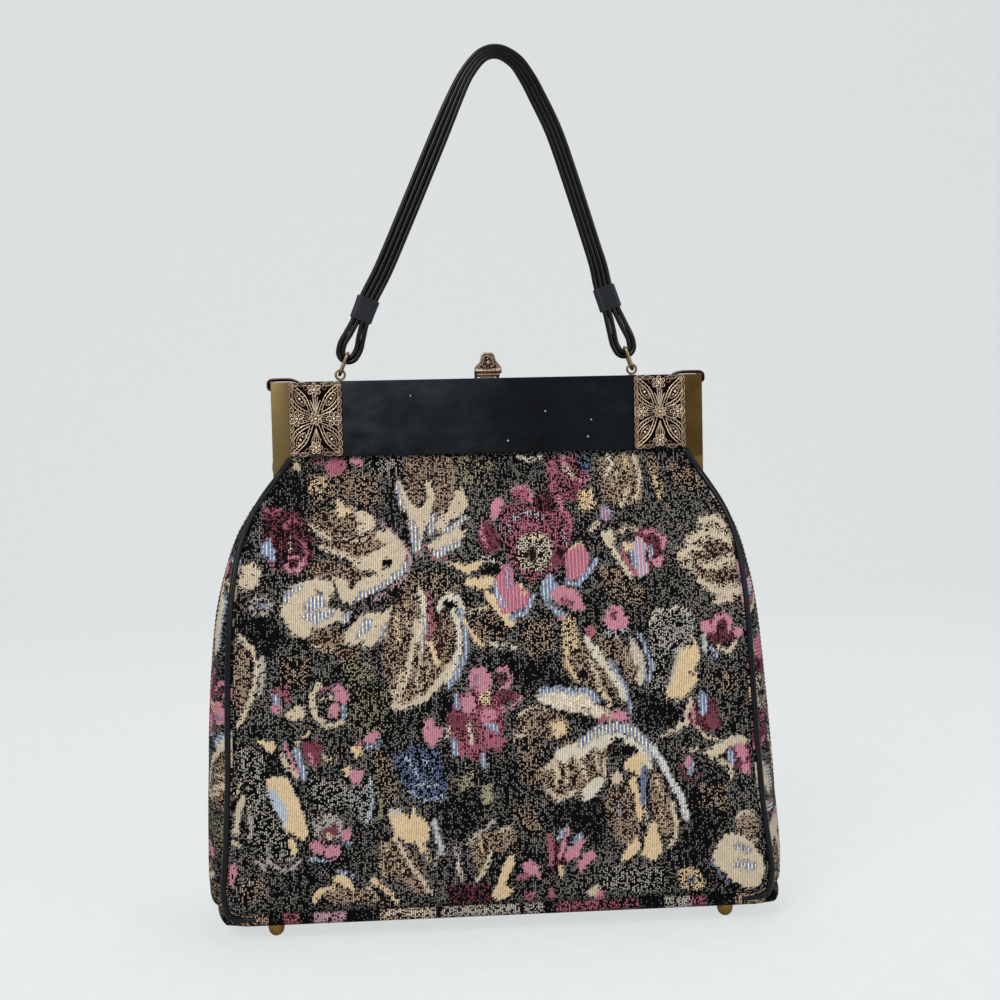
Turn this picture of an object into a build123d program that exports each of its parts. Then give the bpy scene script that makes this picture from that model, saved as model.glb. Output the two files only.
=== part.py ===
from build123d import *
import math
import os

# A framed tapestry handbag: millimetres, +X right, +Y back, +Z up, feet on z = 0.

# Frame, closed, seen from the front
frame_width = 216.0
frame_top = 270.0
frame_depth = 19.0
jaw_face = 37.5
pin_drop = 42.5
leg_below_pin = 7.0
mouth_gap = 0.3
steel = 1.1
cover = 1.3
cap_width = 9.3
side_wall = 1.3

# Hinge rivets and the lugs that turn on them
rivet_radius = 1.5
rivet_fit = 0.05
rivet_head_radius = 2.8
rivet_head = 0.9
lug_radius = 4.0
lug_thickness = 1.4
lug_gap = 0.2

# Filigree plates at the ends of the front jaw
filigree_width = 25.1
filigree_height = 37.6
filigree_plate = 0.8
filigree_rise = 1.0
scallop_radius = 1.45
scallop_hole = 0.62
fan_slots = 4

# Corner clips on top of the frame
clip_length = 12.5
clip_thickness = 1.3
clip_drop = 4.6
clip_gap = 0.3

# Clasp, in the middle of the top
clasp_width = 12.4
clasp_barrel = 1.9
clasp_pin_radius = 0.8
clasp_fit = 0.06
clasp_axis_y = 4.2
clasp_tab_height = 8.4
clasp_tab_thickness = 1.1
nose_thickness = 1.1
nose_reach = 4.6
nose_gap = 0.35
catch_rise = 1.0

# Handle eyes, rings, cords and keepers
eye_offset = 74.0
handle_y = 1.2
eye_rise = 3.4
eye_major = 2.3
eye_wire = 0.6
ring_radius = 2.6
ring_straight = 6.4
ring_wire = 0.85
strand_radius = 1.15
strand_pitch = 2.36
inner_turn = 2.7
outer_turn = 5.06
cord_fit = 0.05
keeper_length = 12.0
keeper_wall = 0.9
left_tilt = 22.4
right_tilt = 18.7
left_keeper_at = 22.9
right_keeper_at = 26.0
left_run = 144.0
right_run = 33.0
handle_rise = 165.0
keeper_bend_rise = 60.0

# Cloth body
foot_height = 8.5
base_height = 5.5
base_half_depth = 44.5
cloth = 2.0
card = 1.4
card_gap = 0.1
lining_cloth = 0.8
piping_radius = 1.5
seam_gap = 0.1
corner_radius = 8.0
body_half_bottom = 133.0
body_half_shoulder = 123.5
body_half_bend = 111.0
neck_fit = 1.3
neck_gap = 12.6
shoulder_radius = 40.0
tuck_height = 6.5
crown_drop = 33.0
bend_drop = 40.5
chest_drop = 78.0
waist_drop = 128.0
hip_drop = 180.0
base_end_bulge = 10.0

# Base board and feet
base_wall = 1.6
board_thickness = 2.4
board_gap = 0.2
foot_end_inset = 22.0
foot_side_inset = 12.5
foot_radius = 4.2
foot_tip_radius = 1.3
shank_radius = 1.4
washer_radius = 5.0
washer_thickness = 0.8

os.makedirs("parts", exist_ok=True)

half_width = frame_width / 2
half_depth = frame_depth / 2
half_mouth = mouth_gap / 2
pin_z = frame_top - pin_drop
face_low = frame_top - jaw_face
leg_low = pin_z - leg_below_pin
cover_back = -half_depth + cover
steel_back = cover_back + steel
wall_inside = half_width - side_wall
cap_inside = half_width - cap_width
top_inside = frame_top - cover
base_top = foot_height + base_height
board_top = foot_height + base_wall + board_gap + board_thickness
neck_half = cap_inside - neck_fit
foot_x = body_half_bottom - foot_end_inset
foot_y = base_half_depth - foot_side_inset


def save(piece, name):
    piece.part.label = name
    export_step(piece.part, f"parts/{name}.step")


# A flat face on a plane, from its corner points
def outline(plane, points):
    with BuildSketch(plane) as flat:
        with BuildLine():
            Polyline(*points, close=True)
        make_face()
    return flat.sketch


# Radii that let each corner arc take the given share of its shorter run
def route_radii(points, share=0.45):
    radii = []
    for before, here, after in zip(points, points[1:], points[2:]):
        run_in = Vector(*here) - Vector(*before)
        run_out = Vector(*after) - Vector(*here)
        half_turn = math.radians(run_in.get_angle(run_out)) / 2
        radii.append(share * min(run_in.length, run_out.length) / math.tan(half_turn))
    return radii


# Side view of the cloth: (y, z) of the front panel's outer face, from the mouth down
def panel_profile(inset_top, inset_low):
    low_y = -base_half_depth
    upper = [
        (-6.4, pin_z + tuck_height),
        (-6.6, pin_z + 4.2),
        (-8.0, pin_z - 0.6),
        (-11.8, pin_z - 6.0),
        (-15.6, pin_z - neck_gap),
    ]
    lower = [
        (-26.0, pin_z - crown_drop),
        (low_y + 6.0, pin_z - chest_drop),
        (low_y + 1.2, pin_z - waist_drop),
        (low_y, pin_z - hip_drop),
        (low_y, base_top),
    ]
    return [(y + inset_top, z) for y, z in upper] + [(y + inset_low, z) for y, z in lower]


# Half of the cloth's front outline: (x, z), from the shoulder down to the bottom corner
def side_outline(inset):
    return [
        (body_half_bend - 1.6 - inset, pin_z - neck_gap),
        (body_half_bend - inset, pin_z - neck_gap - 2.0),
        (body_half_shoulder - inset, pin_z - bend_drop),
        (body_half_bottom - inset, base_top),
    ]


# Front outline of the whole body, with the neck that rises between the frame's legs
def body_outline(inset, neck_top, bottom):
    side = side_outline(inset)
    side[-1] = (side[-1][0], bottom)
    neck = [(neck_half - inset, neck_top), (neck_half - inset, pin_z - neck_gap)]
    right = neck + side
    left = [(-x, z) for x, z in reversed(right)]
    with BuildSketch(Plane.XZ) as flat:
        with BuildLine():
            Polyline(*right, *left, close=True)
        make_face()
        fillet(flat.vertices().group_by(Axis.Y)[0], corner_radius)
        fillet(flat.vertices().group_by(Axis.Y)[-4], shoulder_radius)
    return flat.sketch


# Half depth and half width of the body at a height, for the gussets and the piping
def depth_at(z):
    points = panel_profile(0.0, 0.0)
    for (y0, z0), (y1, z1) in zip(points, points[1:]):
        if z1 <= z <= z0:
            return -(y0 + (y1 - y0) * (z0 - z) / (z0 - z1))
    return base_half_depth


def width_at(z):
    points = side_outline(0.0)
    for (x0, z0), (x1, z1) in zip(points, points[1:]):
        if z1 <= z <= z0:
            return x0 + (x1 - x0) * (z0 - z) / (z0 - z1)
    return points[-1][0]


# Route of the leather piping down one edge of a panel and round its bottom corner
def piping_route(hand, side):
    edge = [(x, z) for x, z in side_outline(0.0)]
    top_z = pin_z - neck_gap - 2.5
    drops = [crown_drop, (crown_drop + chest_drop) / 2, (chest_drop + waist_drop) / 2, hip_drop - 30.0]
    heights = [top_z] + [pin_z - drop for drop in drops] + [base_top + 14.0]
    points = [(hand * width_at(z), -side * depth_at(z), z) for z in heights]
    corner_x = edge[-1][0] - 0.6
    points.append((hand * corner_x, -side * base_half_depth, base_top - 2.0))
    points.append((hand * (corner_x - 12.0), -side * base_half_depth, base_top - 3.2))
    return points


# A round bar along a piping's route, a little fatter where it cuts the seam's room
def piping_bar(hand, side, radius):
    points = piping_route(hand, side)
    with BuildPart() as bar:
        with BuildLine() as route:
            FilletPolyline(*points, radius=route_radii(points))
        with BuildSketch(Plane(origin=route.line @ 0, z_dir=route.line % 0)):
            Circle(radius)
        sweep(path=route.line)
    return bar.part


# A bent sheet that follows the side profile, cut to the body's front outline
def panel(name, side, inset_top, inset_low, thickness, outline_inset, top, bottom):
    outer = panel_profile(inset_top, inset_low)
    inner = panel_profile(inset_top + thickness, inset_low + thickness)
    section = [(side * y, z) for y, z in outer + inner[::-1]]
    with BuildPart() as sheet:
        extrude(outline(Plane.YZ, section), amount=half_width + 60.0, both=True)
        extrude(
            body_outline(outline_inset, top, bottom),
            amount=base_half_depth + 10.0,
            both=True,
            mode=Mode.INTERSECT,
        )
        for hand in (-1, 1):
            add(piping_bar(hand, side, piping_radius + seam_gap), mode=Mode.SUBTRACT)
    save(sheet, name)


neck_top = pin_z + tuck_height
panel("front_panel", 1, 0.0, 0.0, cloth, piping_radius + seam_gap, neck_top, base_top)
panel("back_panel", -1, 0.0, 0.0, cloth, piping_radius + seam_gap, neck_top, base_top)
card_inset = cloth + card_gap
card_edge = piping_radius + 6.0
card_top = pin_z - crown_drop
card_bottom = board_top + 3.0


# Card stiffener behind a panel, flat across and ending below the shoulder
def stiffener(name, side):
    outer = panel_profile(card_inset, card_inset)
    inner = panel_profile(card_inset + card, card_inset + card)
    section = [(side * y, z) for y, z in outer + inner[::-1]]
    half = body_half_shoulder - card_edge
    with BuildPart() as sheet:
        extrude(outline(Plane.YZ, section), amount=half, both=True)
        with BuildSketch(Plane.XZ):
            with BuildLine():
                low = [(-half, card_bottom), (half, card_bottom)]
                high = [(half, card_top), (-half, card_top)]
                Polyline(*low, *high, close=True)
            make_face()
        extrude(amount=base_half_depth + 10.0, both=True, mode=Mode.INTERSECT)
    save(sheet, name)


stiffener("front_stiffener", 1)
stiffener("back_stiffener", -1)


# Gusset: crescent sections stacked from the base to the frame's leg
gusset_heights = [base_top, 40.0, 80.0, 120.0, 155.0, 182.0, 202.0, pin_z - neck_gap - 0.8]
gusset_bulges = [base_end_bulge, 13.0, 14.3, 13.2, 11.0, 7.4, 4.6, 3.2]
seam_inset = piping_radius + seam_gap


def gusset_section(hand, z, bulge):
    depth = depth_at(z) - seam_inset - 1.0
    side = width_at(z) - 0.4
    with BuildSketch(Plane.XY.offset(z)) as flat:
        with BuildLine():
            ThreePointArc((hand * side, -depth), (hand * (side + bulge), 0), (hand * side, depth))
            inner_side = side - cloth
            Line((hand * side, depth), (hand * inner_side, depth))
            ThreePointArc(
                (hand * inner_side, depth),
                (hand * (side + bulge - cloth), 0),
                (hand * inner_side, -depth),
            )
            Line((hand * inner_side, -depth), (hand * side, -depth))
        make_face()
    return flat.sketch


def gusset(name, hand):
    with BuildPart() as shell:
        sections = [gusset_section(hand, z, b) for z, b in zip(gusset_heights, gusset_bulges)]
        loft(sections)
        for side in (-1, 1):
            add(piping_bar(hand, side, piping_radius + seam_gap), mode=Mode.SUBTRACT)
    save(shell, name)


gusset("left_gusset", -1)
gusset("right_gusset", 1)


# Leather piping, one length down each edge of a panel
def piping(name, side):
    with BuildPart() as cord:
        for hand in (-1, 1):
            add(piping_bar(hand, side, piping_radius))
    save(cord, name)


piping("front_piping", 1)
piping("back_piping", -1)


# Plan of the base: straight front and back, bulged ends, rounded corners
def base_plan(plane, inset, depth_inset):
    half = body_half_bottom - seam_inset - inset
    depth = base_half_depth - depth_inset
    with BuildSketch(plane) as flat:
        with BuildLine():
            Line((-half, -depth), (half, -depth))
            ThreePointArc((half, -depth), (half + base_end_bulge, 0), (half, depth))
            Line((half, depth), (-half, depth))
            ThreePointArc((-half, depth), (-half - base_end_bulge, 0), (-half, -depth))
        make_face()
        fillet(flat.vertices(), corner_radius)
    return flat.sketch


foot_places = [
    ("foot_front_left", -foot_x, -foot_y),
    ("foot_front_right", foot_x, -foot_y),
    ("foot_back_left", -foot_x, foot_y),
    ("foot_back_right", foot_x, foot_y),
]
foot_points = [(x, y) for _, x, y in foot_places]
piping_bite = seam_inset + piping_radius

with BuildPart() as base_cover:
    extrude(base_plan(Plane.XY.offset(foot_height), 0.0, 0.0), amount=base_height)
    fillet(base_cover.faces().sort_by(Axis.Z)[0].edges(), 2.2)
    floor_z = foot_height + base_wall
    pocket = base_plan(Plane.XY.offset(floor_z), base_wall, base_wall + piping_bite)
    extrude(pocket, amount=base_height, mode=Mode.SUBTRACT)
    with Locations(*[(x, y, foot_height) for x, y in foot_points]):
        Cylinder(shank_radius + 0.1, 3 * base_wall, mode=Mode.SUBTRACT)
    for hand in (-1, 1):
        for side in (-1, 1):
            add(piping_bar(hand, side, piping_radius + seam_gap), mode=Mode.SUBTRACT)
save(base_cover, "base_cover")

with BuildPart() as base_board:
    board_inset = base_wall + board_gap
    extrude(
        base_plan(Plane.XY.offset(board_top - board_thickness), board_inset, board_inset + piping_bite),
        amount=board_thickness,
    )
    with Locations(*[(x, y, board_top) for x, y in foot_points]):
        Cylinder(shank_radius + 0.1, 3 * board_thickness, mode=Mode.SUBTRACT)
save(base_board, "base_board")


# Foot: fluted bullet with a flange against the base and a shank through the board
def foot(name, x, y):
    with BuildPart() as stud:
        with BuildSketch(Plane(origin=(x, y, 0), x_dir=(1, 0, 0), z_dir=(0, -1, 0))):
            with BuildLine():
                edge = [
                    (0, 0),
                    (foot_tip_radius, 0),
                    (foot_tip_radius + 1.1, 0.6),
                    (foot_radius - 1.0, 3.4),
                    (foot_radius - 0.5, foot_height - 1.2),
                    (foot_radius, foot_height - 1.0),
                    (foot_radius, foot_height),
                    (shank_radius, foot_height),
                    (shank_radius, board_top + washer_thickness + 0.4),
                    (0, board_top + washer_thickness + 0.4),
                ]
                Polyline(*edge, close=True)
            make_face()
        revolve(axis=Axis((x, y, 0), (0, 0, 1)))
    save(stud, name)


for name, x, y in foot_places:
    foot(name, x, y)

with BuildPart() as foot_washers:
    for x, y in foot_points:
        with BuildSketch(Plane.XY.offset(board_top)):
            with Locations((x, y)):
                Circle(washer_radius)
                Circle(shank_radius + 0.1, mode=Mode.SUBTRACT)
        extrude(amount=washer_thickness)
save(foot_washers, "foot_washers")

# Lining: an open inner bag that stands on the base board
lining_low = cloth + card_gap + card + 0.4
lining_high = cloth + 0.3
lining_floor = board_top + washer_thickness + 0.6


def lining_body(extra, floor):
    profile = panel_profile(lining_high + extra, lining_low + extra)
    profile = [(y, z) for y, z in profile if z > floor] + [(profile[-1][0], floor)]
    section = profile + [(-y, z) for y, z in reversed(profile)]
    inset = piping_radius + 4.0 + extra
    with BuildPart() as solid:
        extrude(outline(Plane.YZ, section), amount=half_width + 60.0, both=True)
        extrude(
            body_outline(inset, neck_top, floor),
            amount=base_half_depth,
            both=True,
            mode=Mode.INTERSECT,
        )
    return solid.part


with BuildPart() as lining:
    add(lining_body(0.0, lining_floor))
    add(lining_body(lining_cloth, lining_floor + lining_cloth), mode=Mode.SUBTRACT)
save(lining, "lining")


# A section of the front half of the frame, turned over for the back half where side is -1
def mirror_y(points, side):
    return [(side * y, z) for y, z in points]


def steel_frame(name, side, lug_inside):
    plate = [(cover_back, face_low + cover), (steel_back, face_low + cover)]
    inner_top = top_inside - steel
    bent = plate + [
        (steel_back, inner_top),
        (-half_mouth, inner_top),
        (-half_mouth, top_inside),
        (cover_back, top_inside),
    ]
    leg = [
        (cover_back, leg_low + cover),
        (steel_back, leg_low + cover),
        (steel_back, top_inside),
        (cover_back, top_inside),
    ]
    with BuildPart() as jaw:
        extrude(outline(Plane.YZ, mirror_y(bent, side)), amount=wall_inside, both=True)
        for hand in (-1, 1):
            leg_plane = Plane.YZ.offset(hand * (cap_inside + 0.2))
            leg_run = hand * (wall_inside - cap_inside - 0.2)
            extrude(outline(leg_plane, mirror_y(leg, side)), amount=leg_run)
            with BuildSketch(Plane.YZ.offset(hand * lug_inside)):
                with BuildLine():
                    arm = [
                        (steel_back - steel / 2, pin_z - lug_radius),
                        (0, pin_z - lug_radius),
                        (0, pin_z + lug_radius),
                        (steel_back - steel / 2, pin_z + lug_radius + 3.0),
                    ]
                    Polyline(*mirror_y(arm, side), close=True)
                make_face()
                with Locations((0, pin_z)):
                    Circle(lug_radius)
                    Circle(rivet_radius + rivet_fit, mode=Mode.SUBTRACT)
            extrude(amount=hand * lug_thickness)
    save(jaw, name)


def leather_cover(name, side):
    shell = [
        (-half_depth, face_low),
        (steel_back, face_low),
        (steel_back, face_low + cover),
        (cover_back, face_low + cover),
        (cover_back, top_inside),
        (-half_mouth, top_inside),
        (-half_mouth, frame_top),
        (-half_depth, frame_top),
    ]
    with BuildPart() as leather:
        extrude(outline(Plane.YZ, mirror_y(shell, side)), amount=cap_inside, both=True)
        long_edges = leather.edges().filter_by(Axis.X)
        outer_edges = [edge for edge in long_edges if abs(edge.center().Y) > half_depth - 0.01]
        fillet(outer_edges, 0.6)
    save(leather, name)


def end_cap(name, side, hand):
    face = [
        (-half_depth, leg_low),
        (cover_back, leg_low),
        (cover_back, top_inside),
        (-half_mouth, top_inside),
        (-half_mouth, frame_top),
        (-half_depth, frame_top),
    ]
    wall = [
        (-half_depth, leg_low),
        (-6.0, leg_low),
        (-half_mouth, pin_z),
        (-half_mouth, frame_top),
        (-half_depth, frame_top),
    ]
    with BuildPart() as cap:
        face_plane = Plane.YZ.offset(hand * cap_inside)
        extrude(outline(face_plane, mirror_y(face, side)), amount=hand * (cap_width - side_wall))
        wall_plane = Plane.YZ.offset(hand * wall_inside)
        extrude(outline(wall_plane, mirror_y(wall, side)), amount=hand * side_wall)
        with BuildSketch(wall_plane):
            with Locations((0, pin_z)):
                Circle(rivet_radius + 0.4)
        extrude(amount=hand * side_wall, mode=Mode.SUBTRACT)
    save(cap, name)


back_lug = wall_inside - 2 * (lug_thickness + lug_gap)
front_lug = wall_inside - lug_thickness - lug_gap
steel_frame("front_frame", 1, front_lug)
steel_frame("back_frame", -1, back_lug)
leather_cover("front_leather", 1)
leather_cover("back_leather", -1)
for word, hand in (("left", -1), ("right", 1)):
    end_cap(f"front_{word}_cap", 1, hand)
    end_cap(f"back_{word}_cap", -1, hand)


# Rivet that both halves of the frame turn on
def hinge_rivet(name, hand):
    inner_end = back_lug - rivet_head - 0.2
    outer_end = half_width + 0.15
    with BuildPart() as rivet:
        with BuildSketch(Plane.YZ.offset(hand * inner_end)):
            with Locations((0, pin_z)):
                Circle(rivet_head_radius)
        extrude(amount=hand * rivet_head)
        with BuildSketch(Plane.YZ.offset(hand * inner_end)):
            with Locations((0, pin_z)):
                Circle(rivet_radius)
        extrude(amount=hand * (outer_end - inner_end + 0.1))
        with BuildSketch(Plane.YZ.offset(hand * outer_end)):
            with Locations((0, pin_z)):
                Circle(rivet_head_radius)
        extrude(amount=hand * rivet_head)
        outer_face = rivet.faces().sort_by(Axis.X)[-1 if hand > 0 else 0]
        fillet(outer_face.edges(), 0.5)
    save(rivet, name)


hinge_rivet("left_rivet", -1)
hinge_rivet("right_rivet", 1)


# Filigree: pierced plate with scalloped edge, crossing ribs, flowers and beads
def filigree(name, hand):
    centre_x = hand * (cap_inside - filigree_width / 2)
    centre_z = face_low + jaw_face / 2
    face = Plane(origin=(centre_x, -half_depth, centre_z), x_dir=(1, 0, 0), z_dir=(0, -1, 0))
    half_w = filigree_width / 2 - scallop_radius
    half_h = filigree_height / 2 - scallop_radius
    across = 8
    upward = 13
    loops = []
    for i in range(across + 1):
        x = -half_w + 2 * half_w * i / across
        loops += [(x, half_h), (x, -half_h)]
    for j in range(1, upward):
        z = -half_h + 2 * half_h * j / upward
        loops += [(-half_w, z), (half_w, z)]
    leaf_places = [(sx * half_w * 0.52, sz * half_h * 0.55) for sx in (-1, 1) for sz in (-1, 1)]
    edge_flowers = [(0, half_h - 1.6), (0, 1.6 - half_h), (half_w - 1.6, 0), (1.6 - half_w, 0)]
    with BuildPart() as lace:
        with BuildSketch(face):
            Rectangle(2 * half_w, 2 * half_h)
            with Locations(*loops):
                Circle(scallop_radius)
            with Locations(*loops):
                Circle(scallop_hole, mode=Mode.SUBTRACT)
            for side in (-1, 1):
                for k in range(fan_slots):
                    lean = (k - (fan_slots - 1) / 2) * 16.0
                    reach = 9.4
                    x = reach * math.sin(math.radians(lean))
                    y = side * reach * math.cos(math.radians(lean))
                    with Locations((x, y)):
                        SlotOverall(7.2, 1.15, rotation=90 - side * lean, mode=Mode.SUBTRACT)
            for side in (-1, 1):
                for k in range(3):
                    lean = (k - 1) * 24.0
                    reach = 6.3
                    x = side * reach * math.cos(math.radians(lean))
                    y = reach * math.sin(math.radians(lean))
                    with Locations((x, y)):
                        SlotOverall(3.0, 1.0, rotation=side * lean, mode=Mode.SUBTRACT)
            for x, z in leaf_places:
                turn = math.degrees(math.atan2(z, x))
                for offset in (-2.6, 2.6):
                    dx = -offset * math.sin(math.radians(turn))
                    dz = offset * math.cos(math.radians(turn))
                    with Locations((x + dx, z + dz)):
                        SlotOverall(5.6, 1.0, rotation=turn, mode=Mode.SUBTRACT)
                with Locations((x * 1.62, z * 1.5)):
                    Circle(0.8, mode=Mode.SUBTRACT)
        extrude(amount=filigree_plate)
        raised = face.offset(filigree_plate)
        with BuildSketch(raised):
            Circle(3.1)
            for x, z in leaf_places:
                with Locations((x, z)):
                    Ellipse(3.1, 1.5, rotation=math.degrees(math.atan2(z, x)))
            with Locations(*edge_flowers):
                Circle(1.5)
        extrude(amount=filigree_rise * 0.4)
        bead_face = face.offset(filigree_plate + filigree_rise * 0.4)
        with BuildSketch(bead_face):
            Circle(1.1)
            with PolarLocations(2.35, 8):
                Circle(0.62)
            with Locations(*(leaf_places + edge_flowers)):
                Circle(0.8)
        extrude(amount=filigree_rise * 0.6)
    save(lace, name)


filigree("left_filigree", -1)
filigree("right_filigree", 1)


# Corner clip on the back half: a strip over the frame's top corner, curled down outside it.
# Its underside is cut back so that the front half swings away beneath it.
def corner_clip(name, hand):
    inner_end = half_width - clip_length
    side_x = half_width + clip_gap
    strip = [
        (hand * inner_end, frame_top),
        (hand * side_x, frame_top),
        (hand * side_x, frame_top - clip_drop),
        (hand * (side_x + clip_thickness), frame_top - clip_drop),
        (hand * (side_x + clip_thickness), frame_top + clip_thickness - 0.6),
        (hand * (side_x + clip_thickness - 0.6), frame_top + clip_thickness),
        (hand * (inner_end + 2.6), frame_top + clip_thickness),
    ]
    with BuildPart() as clip:
        extrude(outline(Plane.XZ.offset(1.0 - half_depth), strip), amount=frame_depth - 2.0)
        with BuildSketch(Plane.XY.offset(frame_top - clip_drop - 1.0)):
            with Locations((hand * (side_x - clip_length), -half_depth / 2 + half_mouth / 2)):
                Rectangle(2 * clip_length, half_depth + half_mouth)
        extrude(amount=clip_drop + 1.0 + clip_gap, mode=Mode.SUBTRACT)
    save(clip, name)


corner_clip("left_corner_clip", -1)
corner_clip("right_corner_clip", 1)

# Clasp on the back half of the frame, with its catch on the front half
axis_z = frame_top + clasp_barrel + 0.7
ear_thickness = 1.2
ear_inside = clasp_width / 2 - ear_thickness
nose_low = frame_top + catch_rise + nose_gap

with BuildPart() as clasp_base:
    with BuildSketch(Plane.XY.offset(frame_top)):
        with Locations((0, clasp_axis_y + 0.4)):
            Rectangle(clasp_width, 2 * clasp_barrel + 2.2)
    extrude(amount=0.5)
    for hand in (-1, 1):
        with BuildSketch(Plane.YZ.offset(hand * ear_inside)):
            with Locations((clasp_axis_y, axis_z)):
                Circle(clasp_barrel)
            with Locations((clasp_axis_y, (axis_z + frame_top) / 2)):
                Rectangle(2 * clasp_barrel, axis_z - frame_top)
            with Locations((clasp_axis_y, axis_z)):
                Circle(clasp_pin_radius, mode=Mode.SUBTRACT)
        extrude(amount=hand * ear_thickness)
save(clasp_base, "clasp_base")

with BuildPart() as clasp_pin:
    with BuildSketch(Plane.YZ.offset(-clasp_width / 2)):
        with Locations((clasp_axis_y, axis_z)):
            Circle(clasp_pin_radius)
    extrude(amount=clasp_width)
save(clasp_pin, "clasp_pin")

lever_half = ear_inside - 0.2
tab_base_z = axis_z + clasp_barrel - 0.5
tab_top_z = frame_top + clasp_barrel + 0.7 + clasp_barrel + clasp_tab_height

with BuildPart() as clasp_lever:
    with BuildSketch(Plane.YZ.offset(-lever_half)):
        with Locations((clasp_axis_y, axis_z)):
            Circle(clasp_barrel)
            Circle(clasp_pin_radius + clasp_fit, mode=Mode.SUBTRACT)
    extrude(amount=2 * lever_half)
    nose = [
        (clasp_axis_y - clasp_barrel + 0.3, nose_low),
        (clasp_axis_y - clasp_barrel + 0.3, nose_low + nose_thickness),
        (clasp_axis_y - clasp_barrel - nose_reach, nose_low + nose_thickness),
        (clasp_axis_y - clasp_barrel - nose_reach, nose_low),
    ]
    extrude(outline(Plane.YZ, nose), amount=lever_half * 0.7, both=True)
    tab_plane = Plane(
        origin=(0, clasp_axis_y - clasp_tab_thickness / 2, 0), x_dir=(1, 0, 0), z_dir=(0, -1, 0)
    )
    with BuildSketch(tab_plane):
        with BuildLine():
            bell = [
                (-lever_half, tab_base_z),
                (-lever_half, tab_base_z + 2.4),
                (-lever_half * 0.62, tab_base_z + 4.6),
                (-lever_half * 0.42, tab_top_z - 1.6),
                (-lever_half * 0.2, tab_top_z),
                (lever_half * 0.2, tab_top_z),
                (lever_half * 0.42, tab_top_z - 1.6),
                (lever_half * 0.62, tab_base_z + 4.6),
                (lever_half, tab_base_z + 2.4),
                (lever_half, tab_base_z),
            ]
            Polyline(*bell, close=True)
        make_face()
        with Locations((0, tab_top_z - 2.0)):
            Circle(0.7, mode=Mode.SUBTRACT)
        for hand in (-1, 1):
            with Locations((hand * lever_half * 0.62, tab_base_z + 1.9)):
                Circle(0.75, mode=Mode.SUBTRACT)
    extrude(amount=clasp_tab_thickness)
    with BuildSketch(tab_plane.offset(clasp_tab_thickness)):
        with Locations((0, tab_base_z + 3.4)):
            Circle(0.7)
            with PolarLocations(1.25, 6):
                Circle(0.45)
    extrude(amount=0.5)
save(clasp_lever, "clasp_lever")

with BuildPart() as clasp_catch:
    nose_tip = clasp_axis_y - clasp_barrel - nose_reach
    with BuildSketch(Plane.XY.offset(frame_top)):
        with Locations((0, nose_tip - 0.2)):
            RectangleRounded(lever_half * 1.5, 3.4, 0.8)
    extrude(amount=catch_rise)
save(clasp_catch, "clasp_catch")


# Handle: a ring in an eye at each end, two nested cord loops and two keepers
def tilt_vector(hand):
    tilt = math.radians(left_tilt if hand < 0 else right_tilt)
    return Vector(-hand * math.sin(tilt), 0, math.cos(tilt))


def eye_centre(hand):
    return Vector(hand * eye_offset, handle_y, frame_top + eye_rise)


# The ring's lower arc runs through the eye, a little off its centre so it can swing
def ring_centre(hand):
    slack = Vector(hand * 0.3, 0, 0)
    return eye_centre(hand) + slack + tilt_vector(hand) * ring_radius


def turn_centre(hand):
    rest = inner_turn - strand_radius - ring_wire - cord_fit
    return ring_centre(hand) + tilt_vector(hand) * (ring_straight + ring_radius + rest)


def handle_eye(name, hand):
    centre = eye_centre(hand)
    with BuildPart() as eye:
        with Locations(Location(centre, (90, 0, 0))):
            Torus(eye_major, eye_wire)
        with BuildSketch(Plane.XY.offset(frame_top)):
            with Locations((centre.X, centre.Y)):
                Circle(1.0)
        extrude(amount=eye_rise - eye_major)
        with BuildSketch(Plane.XY.offset(frame_top)):
            with Locations((centre.X, handle_y + 0.55)):
                Rectangle(4.4, 2.8)
        extrude(amount=0.45)
    save(eye, name)


def handle_ring(name, hand):
    up = tilt_vector(hand)
    centre = ring_centre(hand)
    plane = Plane(origin=centre, x_dir=(0, 1, 0), z_dir=Vector(0, 1, 0).cross(up))
    with BuildPart() as ring:
        with BuildLine(plane) as route:
            first = Line((ring_radius, 0), (ring_radius, ring_straight))
            ThreePointArc(
                first @ 1, (0, ring_straight + ring_radius), (-ring_radius, ring_straight)
            )
            second = Line((-ring_radius, ring_straight), (-ring_radius, 0))
            ThreePointArc(second @ 1, (0, -ring_radius), (ring_radius, 0))
        with BuildSketch(Plane(origin=first @ 0, z_dir=first % 0)):
            Circle(ring_wire)
        sweep(path=route.line)
    save(ring, name)


for word, hand in (("left", -1), ("right", 1)):
    handle_eye(f"{word}_handle_eye", hand)
    handle_ring(f"{word}_ring", hand)

# Middle line of the handle, from the left turn over the top to the right turn
apex_route = [
    (-1.0, frame_top + handle_rise - 1.5),
    (14.0, frame_top + handle_rise),
    (25.0, frame_top + handle_rise - 10.0),
    (57.0, frame_top + keeper_bend_rise),
]


def middle_line():
    left = turn_centre(-1)
    right = turn_centre(1)
    left_bend = left + tilt_vector(-1) * left_run
    right_bend = right + tilt_vector(1) * right_run
    ends = [(left.X, left.Z), (left_bend.X, left_bend.Z)]
    return ends + apex_route + [(right_bend.X, right_bend.Z), (right.X, right.Z)]


# Point beside the middle line: each corner moves out along its bisector
def beside(points, offset):
    moved = []
    for before, here, after in zip(points, points[1:], points[2:]):
        run_in = (Vector(*here) - Vector(*before)).normalized()
        run_out = (Vector(*after) - Vector(*here)).normalized()
        normal = (Vector(-run_in.Y, run_in.X) + Vector(-run_out.Y, run_out.X)).normalized()
        stretch = 1 / normal.dot(Vector(-run_in.Y, run_in.X))
        moved.append(Vector(*here) + normal * (offset * stretch))
    return moved


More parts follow.
